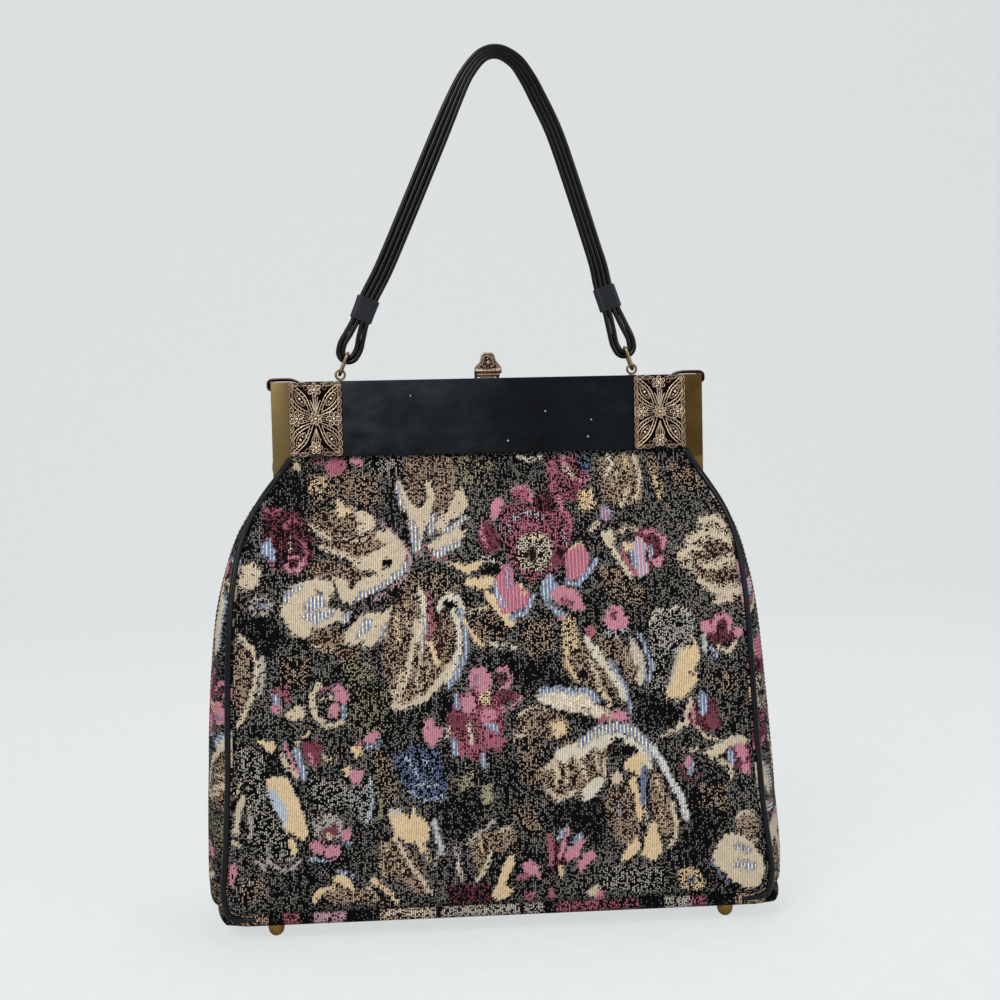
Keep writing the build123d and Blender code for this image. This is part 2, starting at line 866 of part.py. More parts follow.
def corner_radii(points, offset):
    radii = []
    middle = route_radii(points)
    for before, here, after, radius in zip(points, points[1:], points[2:], middle):
        run_in = Vector(*here) - Vector(*before)
        run_out = Vector(*after) - Vector(*here)
        turn = math.copysign(1, run_in.X * run_out.Y - run_in.Y * run_out.X)
        radii.append(radius - turn * offset)
    return radii


def loop_end(centre, up, half, turn, keeper_at):
    start = keeper_at - keeper_length / 2 - 1.0
    normal = Vector(-up.Y, up.X)
    return [
        centre + up * start + normal * half,
        centre + up * 3.0 + normal * (turn + 0.4),
        centre - up * turn + normal * turn,
        centre - up * turn - normal * turn,
        centre + up * 3.0 - normal * (turn + 0.4),
        centre + up * start - normal * half,
    ]


# A closed cord: up one side of the middle line, down the other, round both rings
def cord_route(half, turn):
    middle = middle_line()
    left, right = Vector(*middle[0]), Vector(*middle[-1])
    left_up = Vector(tilt_vector(-1).X, tilt_vector(-1).Z)
    right_up = Vector(tilt_vector(1).X, tilt_vector(1).Z)
    left_end = loop_end(left, left_up, half, turn, left_keeper_at)
    right_end = loop_end(right, right_up, half, turn, right_keeper_at)
    over = beside(middle, half)
    under = beside(middle, -half)
    over_radii = corner_radii(middle, half)
    under_radii = corner_radii(middle, -half)
    points = over + right_end[::-1] + under[::-1] + left_end[::-1]
    round_turn = [6 * turn, 2.2 * turn, 0.97 * turn, 0.97 * turn, 2.2 * turn, 6 * turn]
    radii = over_radii + round_turn + under_radii[::-1] + round_turn
    return [(point.X, point.Y) for point in points], radii


def cord(name, half, turn):
    points, radii = cord_route(half, turn)
    plane = Plane(origin=(0, handle_y, 0), x_dir=(1, 0, 0), z_dir=(0, -1, 0))
    with BuildPart() as rope:
        with BuildLine(plane) as route:
            FilletPolyline(*points, radius=radii, close=True)
        with BuildSketch(Plane(origin=route.line @ 0, z_dir=route.line % 0)):
            Circle(strand_radius)
        sweep(path=route.line)
    path_length = sum(edge.length for edge in route.line.edges())
    share = rope.part.volume / (math.pi * strand_radius**2 * path_length)
    print(name, "length", round(path_length, 1), "volume share", round(share, 4))
    print(name, "radii", [round(r, 1) for r in radii])
    save(rope, name)


cord("inner_cord", strand_pitch / 2, inner_turn)
cord("outer_cord", strand_pitch * 1.5, outer_turn)


def keeper(name, hand, distance):
    up = tilt_vector(hand)
    start = turn_centre(hand) + up * (distance - keeper_length / 2)
    inner_height = 2 * strand_radius + 2 * cord_fit
    inner_width = 4 * strand_pitch + 2 * cord_fit
    with BuildPart() as sleeve:
        with BuildSketch(Plane(origin=start, x_dir=(0, 1, 0), z_dir=up)):
            RectangleRounded(
                inner_height + 2 * keeper_wall, inner_width + 2 * keeper_wall, keeper_wall + 0.8
            )
            RectangleRounded(inner_height, inner_width, inner_height * 0.45, mode=Mode.SUBTRACT)
        extrude(amount=keeper_length)
    save(sleeve, name)


keeper("left_keeper", -1, left_keeper_at)
keeper("right_keeper", 1, right_keeper_at)
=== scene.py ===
import math

import bmesh
import bpy
import numpy as np
from mathutils import Matrix, Vector


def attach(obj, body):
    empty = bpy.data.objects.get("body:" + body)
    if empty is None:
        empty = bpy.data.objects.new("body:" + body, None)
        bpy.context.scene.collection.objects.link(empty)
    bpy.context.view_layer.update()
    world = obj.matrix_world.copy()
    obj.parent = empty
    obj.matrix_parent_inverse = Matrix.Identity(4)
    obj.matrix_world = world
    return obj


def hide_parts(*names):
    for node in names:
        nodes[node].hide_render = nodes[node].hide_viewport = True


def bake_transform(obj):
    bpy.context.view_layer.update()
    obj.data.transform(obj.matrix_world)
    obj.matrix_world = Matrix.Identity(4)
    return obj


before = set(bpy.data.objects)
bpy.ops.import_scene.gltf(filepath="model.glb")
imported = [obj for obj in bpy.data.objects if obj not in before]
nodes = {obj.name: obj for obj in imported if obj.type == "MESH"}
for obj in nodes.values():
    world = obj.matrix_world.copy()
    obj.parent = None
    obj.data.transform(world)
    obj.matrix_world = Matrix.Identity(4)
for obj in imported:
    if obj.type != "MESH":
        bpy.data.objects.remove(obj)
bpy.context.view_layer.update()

mm = 0.001

# Sizes shared with the solids, in millimetres.
bag = {
    "baseTop": 14.0, "baseBottom": 8.5, "jawFace": 9.5, "depthHalf": 44.5,
}


# Helpers
def paint(red, green, blue):  # a screen colour, 0 to 255, as a linear one
    def linear(c):
        c = c / 255
        return c / 12.92 if c <= 0.04045 else ((c + 0.055) / 1.055) ** 2.4
    return (linear(red), linear(green), linear(blue), 1.0)


def addNode(tree, kind, inputs=None, **settings):
    node = tree.nodes.new(kind)
    for key, value in settings.items():
        setattr(node, key, value)
    for key, value in (inputs or {}).items():
        socket = node.inputs[key]
        if isinstance(value, bpy.types.NodeSocket):
            tree.links.new(value, socket)
        else:
            socket.default_value = value
    return node


def calc(tree, operation, first, second=0.5, third=0.5, clamp=False):
    node = addNode(tree, "ShaderNodeMath", {0: first, 1: second, 2: third}, operation=operation, use_clamp=clamp)
    return node.outputs[0]


def blendColors(tree, factor, first, second):
    node = addNode(tree, "ShaderNodeMix", {0: factor, 6: first, 7: second}, data_type="RGBA")
    return node.outputs[2]


def ramp(tree, value, stops):
    node = addNode(tree, "ShaderNodeValToRGB", {0: value})
    points = node.color_ramp.elements
    points[0].position, points[0].color = stops[0]
    points[1].position, points[1].color = stops[-1]
    for place, color in stops[1:-1]:
        points.new(place).color = color
    return node.outputs[0]


def grey(value):
    return (value, value, value, 1.0)


def newMaterial(name, **sockets):
    material = bpy.data.materials.new(name)
    material.use_nodes = True
    tree = material.node_tree
    tree.nodes.clear()
    output = tree.nodes.new("ShaderNodeOutputMaterial")
    shader = tree.nodes.new("ShaderNodeBsdfPrincipled")
    tree.links.new(shader.outputs[0], output.inputs[0])
    for key, value in sockets.items():
        shader.inputs[key.replace("_", " ")].default_value = value
    return material, tree, shader


def bump(tree, shader, height, distance, strength=1.0):
    node = addNode(tree, "ShaderNodeBump", {"Height": height, "Distance": distance, "Strength": strength})
    tree.links.new(node.outputs[0], shader.inputs["Normal"])


def noise(tree, where, scale, detail=3.0, roughness=0.55):
    values = {"Vector": where, "Scale": scale, "Detail": detail, "Roughness": roughness}
    return addNode(tree, "ShaderNodeTexNoise", values).outputs[0]


def objectPlace(tree, scale=(1, 1, 1)):
    where = tree.nodes.new("ShaderNodeTexCoord").outputs["Object"]
    if scale == (1, 1, 1):
        return where
    return addNode(tree, "ShaderNodeMapping", {"Vector": where, "Scale": scale}).outputs[0]


def addObject(name, mesh, material=None):
    obj = bpy.data.objects.new(name, mesh)
    bpy.context.scene.collection.objects.link(obj)
    if material:
        mesh.materials.clear()
        mesh.materials.append(material)
    return obj


def smooth(mesh, angle=None):
    mesh.polygons.foreach_set("use_smooth", [True] * len(mesh.polygons))
    if angle is not None:
        mesh.set_sharp_from_angle(angle=math.radians(angle))
    mesh.update()


def facesOut(mesh):
    form = bmesh.new()
    form.from_mesh(mesh)
    bmesh.ops.recalc_face_normals(form, faces=form.faces)
    form.to_mesh(mesh)
    form.free()


def closedMesh(name, points, faces, material=None):  # points in millimetres
    mesh = bpy.data.meshes.new(name)
    mesh.from_pydata((np.array(points, float) * mm).tolist(), [], faces)
    facesOut(mesh)
    return addObject(name, mesh, material)


def ringFaces(rings, around, first=0):  # between closed rings of points
    faces = []
    for r in range(rings - 1):
        low, high = first + r * around, first + (r + 1) * around
        for k in range(around):
            m = (k + 1) % around
            faces.append([low + k, low + m, high + m, high + k])
    return faces


def closedRings(rings, around):  # the same with both ends filled
    last = (rings - 1) * around
    return ringFaces(rings, around) + [list(range(around)), list(range(last, last + around))]


def joinMeshes(name, objects, material):
    form = bmesh.new()
    for obj in objects:
        form.from_mesh(obj.data)
        bpy.data.objects.remove(obj)
    mesh = bpy.data.meshes.new(name)
    form.to_mesh(mesh)
    form.free()
    return addObject(name, mesh, material)


def smoothStep(low, high, value):
    t = np.clip((value - low) / (high - low), 0, 1)
    return t * t * (3 - 2 * t)


def curveThrough(points, count):  # Catmull-Rom through the points, evenly spread
    p = np.array(points, float)
    p = np.vstack([2 * p[0] - p[1], p, 2 * p[-1] - p[-2]])
    out = []
    for i in range(1, len(p) - 2):
        t = np.linspace(0, 1, 40, endpoint=False)[:, None]
        a, b, c, d = p[i - 1], p[i], p[i + 1], p[i + 2]
        out.append(0.5 * (2 * b + (c - a) * t + (2 * a - 5 * b + 4 * c - d) * t**2 + (3 * b - a - 3 * c + d) * t**3))
    out = np.vstack(out + [p[-2][None]])
    run = np.concatenate([[0], np.cumsum(np.linalg.norm(np.diff(out, axis=0), axis=1))])
    at = np.linspace(0, run[-1], count)
    return np.stack([np.interp(at, run, out[:, k]) for k in range(out.shape[1])], 1), at


# Camera, floor and light
camera = {
    "distance": 700.0, "lens": 1382.0, "frameWidth": 1000.0, "frameMiddle": 500.0, "sensor": 36.0,
    "yaw": 3.6, "pitch": 3.2, "roll": -1.28, "aimHeight": 270.0, "shiftRight": -6.5, "shiftUp": 61.5,
}
stage = {  # metres
    "front": -3.0, "bend": 1.2, "bendRadius": 1.0, "top": 4.0, "half": 4.0, "glow": 0.76,
    "lamps": [
        {"name": "windowLight", "place": (-0.75, -1.25, 1.25), "size": (0.7, 0.9), "power": 20,
         "color": (1.0, 0.985, 0.96)},
        {"name": "roomLight", "place": (1.1, -0.95, 0.75), "size": (0.5, 0.8), "power": 7, "color": (0.96, 0.98, 1.0)},
        {"name": "topLight", "place": (0.1, 0.3, 1.5), "size": (0.8, 0.6), "power": 9, "color": (1, 1, 1)},
    ],
    "aim": (0, 0, 0.2),
}


def cameraTurn():
    yaw, pitch, roll = (math.radians(camera[k]) for k in ("yaw", "pitch", "roll"))
    rolled = Matrix.Rotation(-roll, 3, "Y").inverted()
    return np.array(rolled @ Matrix.Rotation(pitch, 3, "X") @ Matrix.Rotation(yaw, 3, "Z"))


turn = cameraTurn()
aim = np.array([0, 0, camera["aimHeight"]])
eye = turn.T @ np.array([-camera["shiftRight"], -camera["distance"], -camera["shiftUp"]]) + aim


def toPicture(points):  # millimetres on the bag to places in the 1000-pixel picture
    q = (np.asarray(points, float) - aim) @ turn.T
    scale = camera["lens"] / (q[..., 1] + camera["distance"])
    return np.stack([camera["frameMiddle"] + scale * (q[..., 0] + camera["shiftRight"]),
                     camera["frameMiddle"] - scale * (q[..., 2] + camera["shiftUp"])], -1)


def makeCamera():
    data = bpy.data.cameras.new("photoCamera")
    data.sensor_width = camera["sensor"]
    data.lens = camera["lens"] / camera["frameWidth"] * camera["sensor"]
    data.clip_start, data.clip_end = 0.05, 20
    obj = bpy.data.objects.new("photoCamera", data)
    bpy.context.scene.collection.objects.link(obj)
    right, forward, up = turn
    place = Matrix.Identity(4)
    for row in range(3):
        place[row] = right[row], up[row], -forward[row], eye[row] * mm
    obj.matrix_world = place
    bpy.context.scene.camera = obj


def makeFloor():  # a floor that bends up into a wall
    bend, radius = stage["bend"], stage["bendRadius"]
    section = [(stage["front"], 0.0), (bend, 0.0)]
    section += [(bend + radius * math.sin(a), radius * (1 - math.cos(a))) for a in np.linspace(0.1, math.pi / 2, 16)]
    section += [(bend + radius, stage["top"])]
    points = [(x, y, z) for y, z in section for x in (-stage["half"], stage["half"])]
    mesh = bpy.data.meshes.new("floor")
    mesh.from_pydata(points, [], [[2 * i, 2 * i + 1, 2 * i + 3, 2 * i + 2] for i in range(len(section) - 1)])
    smooth(mesh)
    floor = addObject("floor", mesh)
    material, tree, shader = newMaterial("paleFloor", Roughness=0.9, Base_Color=paint(226, 228, 227))
    shader.inputs["Specular IOR Level"].default_value = 0.05
    shade = noise(tree, objectPlace(tree), 90, 4)
    color = ramp(tree, shade, [(0.3, paint(214, 217, 216)), (0.7, paint(226, 229, 228))])
    tree.links.new(color, shader.inputs["Base Color"])
    glow = addNode(tree, "ShaderNodeEmission", {"Color": paint(229, 232, 232), "Strength": 1.04})
    path = tree.nodes.new("ShaderNodeLightPath")
    seen = calc(tree, "MULTIPLY", path.outputs["Is Camera Ray"], stage["glow"])
    pick = addNode(tree, "ShaderNodeMixShader", {0: seen, 1: shader.outputs[0], 2: glow.outputs[0]})
    tree.links.new(pick.outputs[0], tree.nodes["Material Output"].inputs[0])
    mesh.materials.append(material)


def makeRoom():
    world = bpy.data.worlds.new("softRoom")
    world.use_nodes = True
    tree = world.node_tree
    tree.nodes.clear()
    path = tree.nodes.new("ShaderNodeLightPath")
    seen = calc(tree, "MAXIMUM", path.outputs["Is Camera Ray"], path.outputs["Is Transmission Ray"])
    room = addNode(tree, "ShaderNodeBackground", {"Color": paint(214, 220, 226), "Strength": 0.52})
    wall = addNode(tree, "ShaderNodeBackground", {"Color": paint(221, 225, 225), "Strength": 1.0})
    pick = addNode(tree, "ShaderNodeMixShader", {0: seen, 1: room.outputs[0], 2: wall.outputs[0]})
    output = tree.nodes.new("ShaderNodeOutputWorld")
    tree.links.new(pick.outputs[0], output.inputs[0])
    bpy.context.scene.world = world


def makeLamp(lamp):
    data = bpy.data.lights.new(lamp["name"], "AREA")
    data.shape, (data.size, data.size_y) = "RECTANGLE", lamp["size"]
    data.energy, data.color = lamp["power"], lamp["color"]
    obj = bpy.data.objects.new(lamp["name"], data)
    bpy.context.scene.collection.objects.link(obj)
    obj.location = lamp["place"]
    obj.rotation_euler = (Vector(stage["aim"]) - Vector(lamp["place"])).to_track_quat("-Z", "Y").to_euler()


bpy.context.scene.view_settings.view_transform = "Standard"
makeCamera()
makeFloor()
makeRoom()
for lampValues in stage["lamps"]:
    makeLamp(lampValues)
print("camera, floor and light made")


# Tapestry
weave = {
    "thread": 0.88, "pick": 0.68,       # a cell's width and length in millimetres
    "thick": 1.2, "step": 5,            # the back of the cloth has every fifth row and column
    "seed": 11, "cells": 1024,          # random numbers that repeat after so many cells
    "jitter": (2.4, 4.4),               # how far, in the picture's pixels, a cell may take its yarn from
    "groundShare": 0.39, "groundDrift": 0.08,
}
hiddenCloth = {  # where the unseen cloth takes the pattern from, in the picture's pixels, and millimetres to a pixel
    "left": 215, "wide": 570, "across": 0.484, "along": 0.5,
    "backShift": 452, "backBottom": 906, "baseShift": 260, "baseMiddle": 700,
    "gussetStart": {-1: 250, 1: 300}, "gussetMiddle": {-1: 760, 1: 630},
}

yarns = {  # the colours that the loom had
    "black": (9, 8, 9), "ground": (124, 119, 113), "umber": (30, 18, 15), "plumShade": (46, 18, 26),
    "beige": (200, 183, 158), "cream": (208, 198, 179), "gold": (214, 187, 148), "brown": (168, 145, 124),
    "stone": (172, 166, 156), "slate": (102, 116, 148), "mist": (176, 184, 196), "olive": (150, 144, 118),
    "pink": (192, 129, 143), "rose": (162, 96, 109), "plum": (116, 62, 74), "lilac": (182, 146, 154),
}

# The floral pattern, from the back forward, in the picture's pixels. A motif is a yarn, a shade, the share of that
# yarn, a stroke's width (0 fills the outline) and its points.
motifs = [
    # dim fields behind
    ("brown", "black", 0.44, 0, [(308, 476), (352, 472), (378, 474), (380, 500), (372, 512), (352, 500), (330, 498),
        (310, 506)]),
    ("brown", "umber", 0.5, 0, [(404, 455), (430, 455), (430, 476), (424, 482), (424, 500), (414, 504), (406, 490)]),
    ("brown", "umber", 0.55, 0, [(432, 456), (452, 456), (456, 480), (452, 500), (448, 522), (436, 524), (434, 500)]),
    ("olive", "black", 0.5, 0, [(458, 455), (470, 454), (466, 468), (474, 476), (470, 488), (460, 486), (454, 470)]),
    ("olive", "black", 0.42, 0, [(474, 462), (494, 460), (490, 490), (474, 486)]),
    ("stone", "black", 0.36, 0, [(366, 456), (404, 456), (402, 476), (372, 474)]),
    ("ground", "black", 0.2, 0, [(266, 500), (286, 474), (304, 474), (310, 500), (300, 516), (276, 512)]),
    ("ground", "black", 0.2, 0, [(240, 612), (272, 610), (284, 640), (262, 664), (240, 640)]),
    ("ground", "black", 0.22, 0, [(496, 652), (560, 660), (560, 690), (536, 690), (512, 676)]),
    ("ground", "black", 0.2, 0, [(636, 690), (664, 700), (684, 716), (664, 730), (640, 722)]),
    ("ground", "black", 0.2, 0, [(560, 800), (604, 800), (606, 850), (590, 842), (566, 826), (548, 830)]),
    ("ground", "black", 0.22, 0, [(684, 790), (720, 800), (716, 840), (700, 862), (684, 866), (674, 850),
        (692, 820)]),
    ("ground", "black", 0.22, 0, [(276, 740), (282, 770), (268, 776), (262, 752)]),
    ("ground", "black", 0.24, 0, [(444, 800), (482, 806), (474, 830), (452, 844), (440, 822)]),
    ("brown", "umber", 0.46, 0, [(306, 564), (330, 560), (352, 566), (372, 568), (362, 582), (340, 584), (324, 576),
        (308, 580)]),
    ("brown", "black", 0.42, 0, [(404, 574), (440, 570), (462, 590), (444, 600), (424, 594), (400, 598)]),
    ("brown", "black", 0.42, 0, [(466, 604), (500, 606), (504, 640), (488, 648), (474, 636)]),
    ("brown", "black", 0.42, 0, [(520, 620), (552, 620), (556, 650), (530, 660), (522, 640)]),
    ("brown", "black", 0.36, 0, [(276, 656), (312, 660), (308, 686), (282, 686)]),
    ("olive", "black", 0.45, 0, [(344, 660), (372, 660), (374, 684), (350, 688), (342, 678)]),
    ("olive", "black", 0.36, 0, [(348, 690), (388, 684), (392, 730), (372, 740), (350, 726)]),
    ("brown", "black", 0.42, 0, [(596, 568), (616, 566), (630, 580), (644, 590), (646, 606), (630, 604), (606, 592)]),
    ("brown", "black", 0.4, 0, [(664, 460), (694, 468), (706, 486), (690, 494), (676, 486), (668, 476)]),
    ("brown", "black", 0.5, 0, [(646, 456), (658, 456), (664, 480), (664, 500), (656, 498), (650, 480)]),
    ("brown", "black", 0.5, 0, [(596, 632), (618, 630), (626, 660), (614, 668), (602, 654)]),
    ("stone", "black", 0.36, 0, [(650, 640), (668, 644), (666, 690), (652, 694)]),
    ("brown", "black", 0.34, 0, [(706, 672), (738, 672), (736, 694), (712, 690)]),
    ("brown", "black", 0.42, 0, [(516, 740), (546, 744), (536, 790), (520, 780)]),
    ("brown", "black", 0.42, 0, [(510, 810), (526, 806), (542, 818), (540, 836), (524, 828)]),
    ("stone", "black", 0.4, 0, [(600, 868), (664, 866), (660, 892), (604, 888)]),
    ("brown", "black", 0.4, 0, [(696, 784), (728, 786), (726, 810), (700, 808)]),
    ("stone", "black", 0.4, 0, [(236, 742), (264, 756), (266, 806), (284, 830), (296, 860), (262, 862), (252, 840),
        (254, 800), (240, 782)]),
    ("stone", "black", 0.4, 0, [(306, 778), (346, 780), (348, 806), (316, 812)]),
    ("stone", "black", 0.42, 0, [(344, 790), (372, 780), (374, 820), (366, 824), (352, 812)]),
    ("brown", "black", 0.36, 0, [(240, 880), (262, 876), (268, 900), (240, 906)]),
    ("plum", "black", 0.42, 0, [(446, 884), (490, 884), (494, 902), (450, 904)]),
    ("brown", "black", 0.4, 0, [(372, 744), (394, 760), (398, 800), (386, 806), (374, 786)]),

    # upper left: a broad leaf, the upright pair and their light lower leaf
    ("brown", "umber", 0.5, 0, [(312, 514), (332, 508), (352, 512), (372, 524), (384, 540), (382, 556), (350, 560),
        (330, 554), (318, 540)]),
    ("gold", "umber", 0.86, 0, [(331, 500), (340, 500), (346, 506), (357, 508), (349, 513), (343, 517), (334, 513),
        (338, 508)]),
    ("beige", "umber", 0.88, 0, [(352, 513), (364, 510), (372, 516), (377, 525), (370, 531), (360, 535), (355, 530),
        (361, 524)]),
    ("beige", "umber", 0.94, 0, [(378, 530), (390, 530), (400, 541), (407, 553), (405, 565), (396, 573), (384, 575),
        (370, 571), (356, 568), (348, 561), (358, 557), (368, 556), (376, 551), (385, 546), (380, 540), (374, 538)]),
    ("beige", "umber", 0.75, 5, [(309, 526), (318, 530), (328, 538)]),
    ("beige", "umber", 0.84, 6, [(322, 546), (334, 552), (348, 557), (360, 562)]),
    ("beige", "umber", 0.66, 3, [(340, 536), (352, 542), (366, 540)]),
    ("beige", "umber", 0.94, 0, [(364, 577), (384, 575), (400, 571), (393, 580), (378, 587), (366, 593), (354, 601),
        (344, 604), (338, 598), (338, 586), (331, 578), (344, 577), (352, 590), (358, 581)]),
    ("slate", "cream", 0.5, 6, [(408, 563), (400, 573), (388, 582), (374, 589), (358, 598)]),
    ("lilac", "umber", 0.9, 2.6, [(378, 524), (388, 528), (400, 540), (408, 552), (411, 562), (408, 572), (399, 583),
        (388, 591), (374, 600)]),
    ("black", "black", 0.2, 0, [(381, 562), (386, 558), (392, 560), (390, 566), (383, 568)]),
    ("beige", "umber", 0.93, 0, [(396, 480), (402, 482), (406, 492), (410, 501), (414, 506), (419, 509), (424, 504),
        (428, 497), (425, 490), (424, 483), (430, 481), (434, 488), (434, 500), (432, 512), (428, 522), (424, 534),
        (421, 545), (414, 542), (410, 530), (407, 519), (401, 508), (397, 496)]),
    ("slate", "cream", 0.5, 4, [(397, 488), (401, 504), (406, 515)]),
    ("slate", "cream", 0.5, 8, [(413, 524), (416, 540), (418, 552)]),
    ("slate", "cream", 0.5, 6, [(433, 518), (430, 532)]),
    ("black", "black", 0.2, 0, [(400, 510), (405, 511), (409, 519), (404, 522)]),
    ("beige", "umber", 0.9, 0, [(456, 490), (462, 486), (466, 494), (468, 504), (462, 514), (452, 520), (445, 528),
        (440, 534), (434, 528), (438, 516), (446, 508), (452, 499)]),
    ("brown", "umber", 0.5, 0, [(436, 500), (448, 496), (450, 508), (440, 516), (434, 512)]),
    ("beige", "umber", 0.93, 0, [(440, 537), (448, 529), (458, 527), (467, 531), (464, 537), (456, 542), (448, 546),
        (438, 549), (430, 550), (427, 545), (433, 540)]),
    ("slate", "cream", 0.5, 5, [(445, 531), (456, 524), (467, 517)]),
    ("slate", "cream", 0.5, 6, [(433, 554), (446, 550), (457, 544)]),
    ("rose", "black", 0.85, 2.6, [(417, 555), (421, 549), (425, 545)]),
    ("rose", "black", 0.85, 2.6, [(427, 551), (434, 557), (447, 560)]),
    ("beige", "umber", 0.95, 0, [(284, 596), (292, 586), (304, 580), (318, 578), (332, 580), (336, 590), (329, 597),
        (327, 609), (340, 611), (352, 614), (346, 621), (334, 622), (322, 627), (314, 636), (302, 637), (292, 634),
        (286, 624), (279, 614)]),
    ("slate", "cream", 0.5, 0, [(303, 607), (310, 597), (320, 595), (327, 600), (322, 608), (308, 612)]),
    ("slate", "cream", 0.5, 0, [(298, 617), (308, 612), (326, 610), (336, 609), (334, 615), (322, 619), (316, 626),
        (307, 620)]),
    ("slate", "cream", 0.5, 5, [(286, 601), (290, 592), (300, 587)]),
    ("slate", "cream", 0.5, 0, [(342, 614), (352, 611), (348, 623), (342, 621)]),
    ("umber", "umber", 0.9, 2.4, [(336, 588), (338, 597), (342, 605), (350, 610)]),
    ("umber", "umber", 0.8, 2, [(314, 590), (322, 594)]),
    ("beige", "umber", 0.93, 0, [(346, 632), (352, 624), (360, 616), (370, 612), (380, 613), (392, 607), (397, 614),
        (388, 622), (382, 629), (380, 640), (370, 648), (362, 647), (366, 638), (358, 643), (348, 645), (338, 639)]),
    ("slate", "cream", 0.5, 0, [(361, 628), (363, 619), (372, 619), (370, 630), (362, 637), (353, 639)]),
    ("slate", "cream", 0.5, 0, [(380, 635), (382, 626), (392, 621), (390, 632), (384, 639)]),
    ("brown", "umber", 0.48, 0, [(312, 628), (340, 626), (346, 646), (338, 656), (318, 652), (310, 640)]),
    ("brown", "umber", 0.5, 0, [(338, 648), (362, 650), (356, 661), (340, 662)]),
    ("beige", "umber", 0.7, 3, [(314, 646), (324, 650), (334, 650)]),
    # the hanging pair
    ("brown", "umber", 0.5, 0, [(394, 600), (426, 590), (436, 620), (440, 650), (446, 668), (440, 690), (420, 702),
        (398, 706), (388, 690), (382, 660), (386, 630)]),
    ("cream", "umber", 0.88, 6, [(420, 590), (424, 606), (422, 622), (419, 640)]),
    ("beige", "umber", 0.86, 6, [(416, 622), (414, 640), (410, 656), (408, 674), (402, 690)]),
    ("gold", "umber", 0.72, 4, [(396, 618), (398, 642)]),
    ("gold", "umber", 0.95, 6, [(428, 640), (433, 650), (437, 663)]),
    ("beige", "umber", 0.93, 7, [(452, 652), (450, 664), (444, 676), (436, 686), (428, 696), (414, 703), (404, 707),
        (394, 706)]),
    ("beige", "umber", 0.8, 4, [(392, 692), (396, 704)]),
    ("beige", "umber", 0.72, 4, [(401, 674), (396, 690), (399, 700)]),
    ("beige", "umber", 0.7, 3, [(420, 650), (420, 668), (416, 684)]),
    ("beige", "umber", 0.64, 3, [(430, 664), (426, 680), (419, 694)]),
    ("beige", "umber", 0.6, 3, [(406, 606), (408, 626)]),
    ("rose", "plumShade", 0.75, 4, [(428, 594), (431, 612), (432, 628), (428, 640)]),
    ("plum", "umber", 0.45, 5, [(438, 600), (441, 630), (440, 652)]),
    ("slate", "cream", 0.5, 4, [(424, 617), (426, 631)]),
    ("slate", "cream", 0.5, 3, [(422, 636), (422, 652)]),
    ("brown", "umber", 0.46, 0, [(443, 612), (454, 616), (457, 640), (452, 660), (444, 668), (440, 640)]),
    ("cream", "umber", 0.92, 7, [(440, 609), (444, 599), (450, 596), (457, 600), (463, 611)]),
    ("black", "black", 0.2, 0, [(444, 602), (450, 599), (457, 604), (455, 611), (446, 608)]),
    ("cream", "umber", 0.88, 6, [(453, 612), (458, 624), (460, 640), (458, 654), (454, 668), (447, 680)]),
    ("slate", "mist", 0.5, 5, [(459, 610), (465, 626), (467, 644), (464, 660), (457, 674), (449, 685)]),
    # gold leaf and white curl to the right
    ("gold", "umber", 0.96, 0, [(446, 563), (456, 562), (464, 565), (474, 562), (484, 560), (481, 566), (472, 570),
        (468, 576), (462, 572), (456, 567)]),
    ("gold", "umber", 0.95, 0, [(461, 576), (470, 578), (478, 577), (488, 576), (497, 578), (494, 586), (484, 590),
        (474, 588), (466, 583)]),
    ("gold", "umber", 0.95, 0, [(480, 588), (492, 592), (500, 602), (510, 612), (516, 622), (514, 628), (506, 626),
        (500, 616), (490, 604)]),
    ("gold", "umber", 0.9, 5, [(464, 620), (470, 630), (476, 640), (482, 646)]),
    ("beige", "umber", 0.72, 3, [(466, 612), (478, 610), (486, 606)]),
    ("cream", "black", 0.82, 3, [(490, 642), (500, 647), (508, 643), (516, 648)]),

    # flowers on the left edge
    ("plum", "black", 0.46, 0, [(262, 506), (280, 508), (304, 516), (312, 538), (314, 560), (300, 574), (284, 570),
        (270, 560), (262, 540)]),
    ("rose", "plumShade", 0.8, 4, [(263, 508), (272, 514), (280, 511)]),
    ("rose", "plumShade", 0.7, 4, [(284, 527), (292, 519), (302, 524)]),
    ("pink", "plumShade", 0.88, 4, [(286, 565), (290, 572), (298, 572), (303, 561)]),
    ("pink", "plumShade", 0.75, 3, [(288, 559), (298, 557)]),
    ("slate", "mist", 0.5, 7, [(265, 553), (268, 543), (272, 559)]),
    ("rose", "plumShade", 0.7, 4, [(300, 540), (308, 552), (306, 563)]),
    ("beige", "plumShade", 0.6, 4, [(290, 539), (290, 551)]),
    ("rose", "black", 0.66, 4, [(270, 561), (277, 572)]),
    ("beige", "umber", 0.86, 0, [(234, 580), (242, 566), (254, 562), (262, 572), (257, 587), (244, 592)]),
    ("stone", "umber", 0.7, 4, [(250, 606), (256, 598), (266, 598), (271, 606), (266, 614), (256, 614), (250, 606)]),
    ("slate", "mist", 0.5, 4, [(257, 606), (265, 606)]),
    ("beige", "umber", 0.7, 0, [(292, 461), (300, 461), (301, 470), (293, 472)]),
    ("rose", "plumShade", 0.86, 0, [(324, 466), (332, 458), (344, 459), (347, 468), (340, 476), (330, 475)]),
    ("rose", "plumShade", 0.7, 4, [(314, 460), (322, 465)]),
    ("pink", "plumShade", 0.9, 0, [(350, 457), (360, 456), (363, 464), (356, 467), (350, 462)]),
    ("gold", "umber", 0.56, 0, [(308, 480), (316, 477), (327, 481), (325, 491), (316, 495), (308, 489)]),
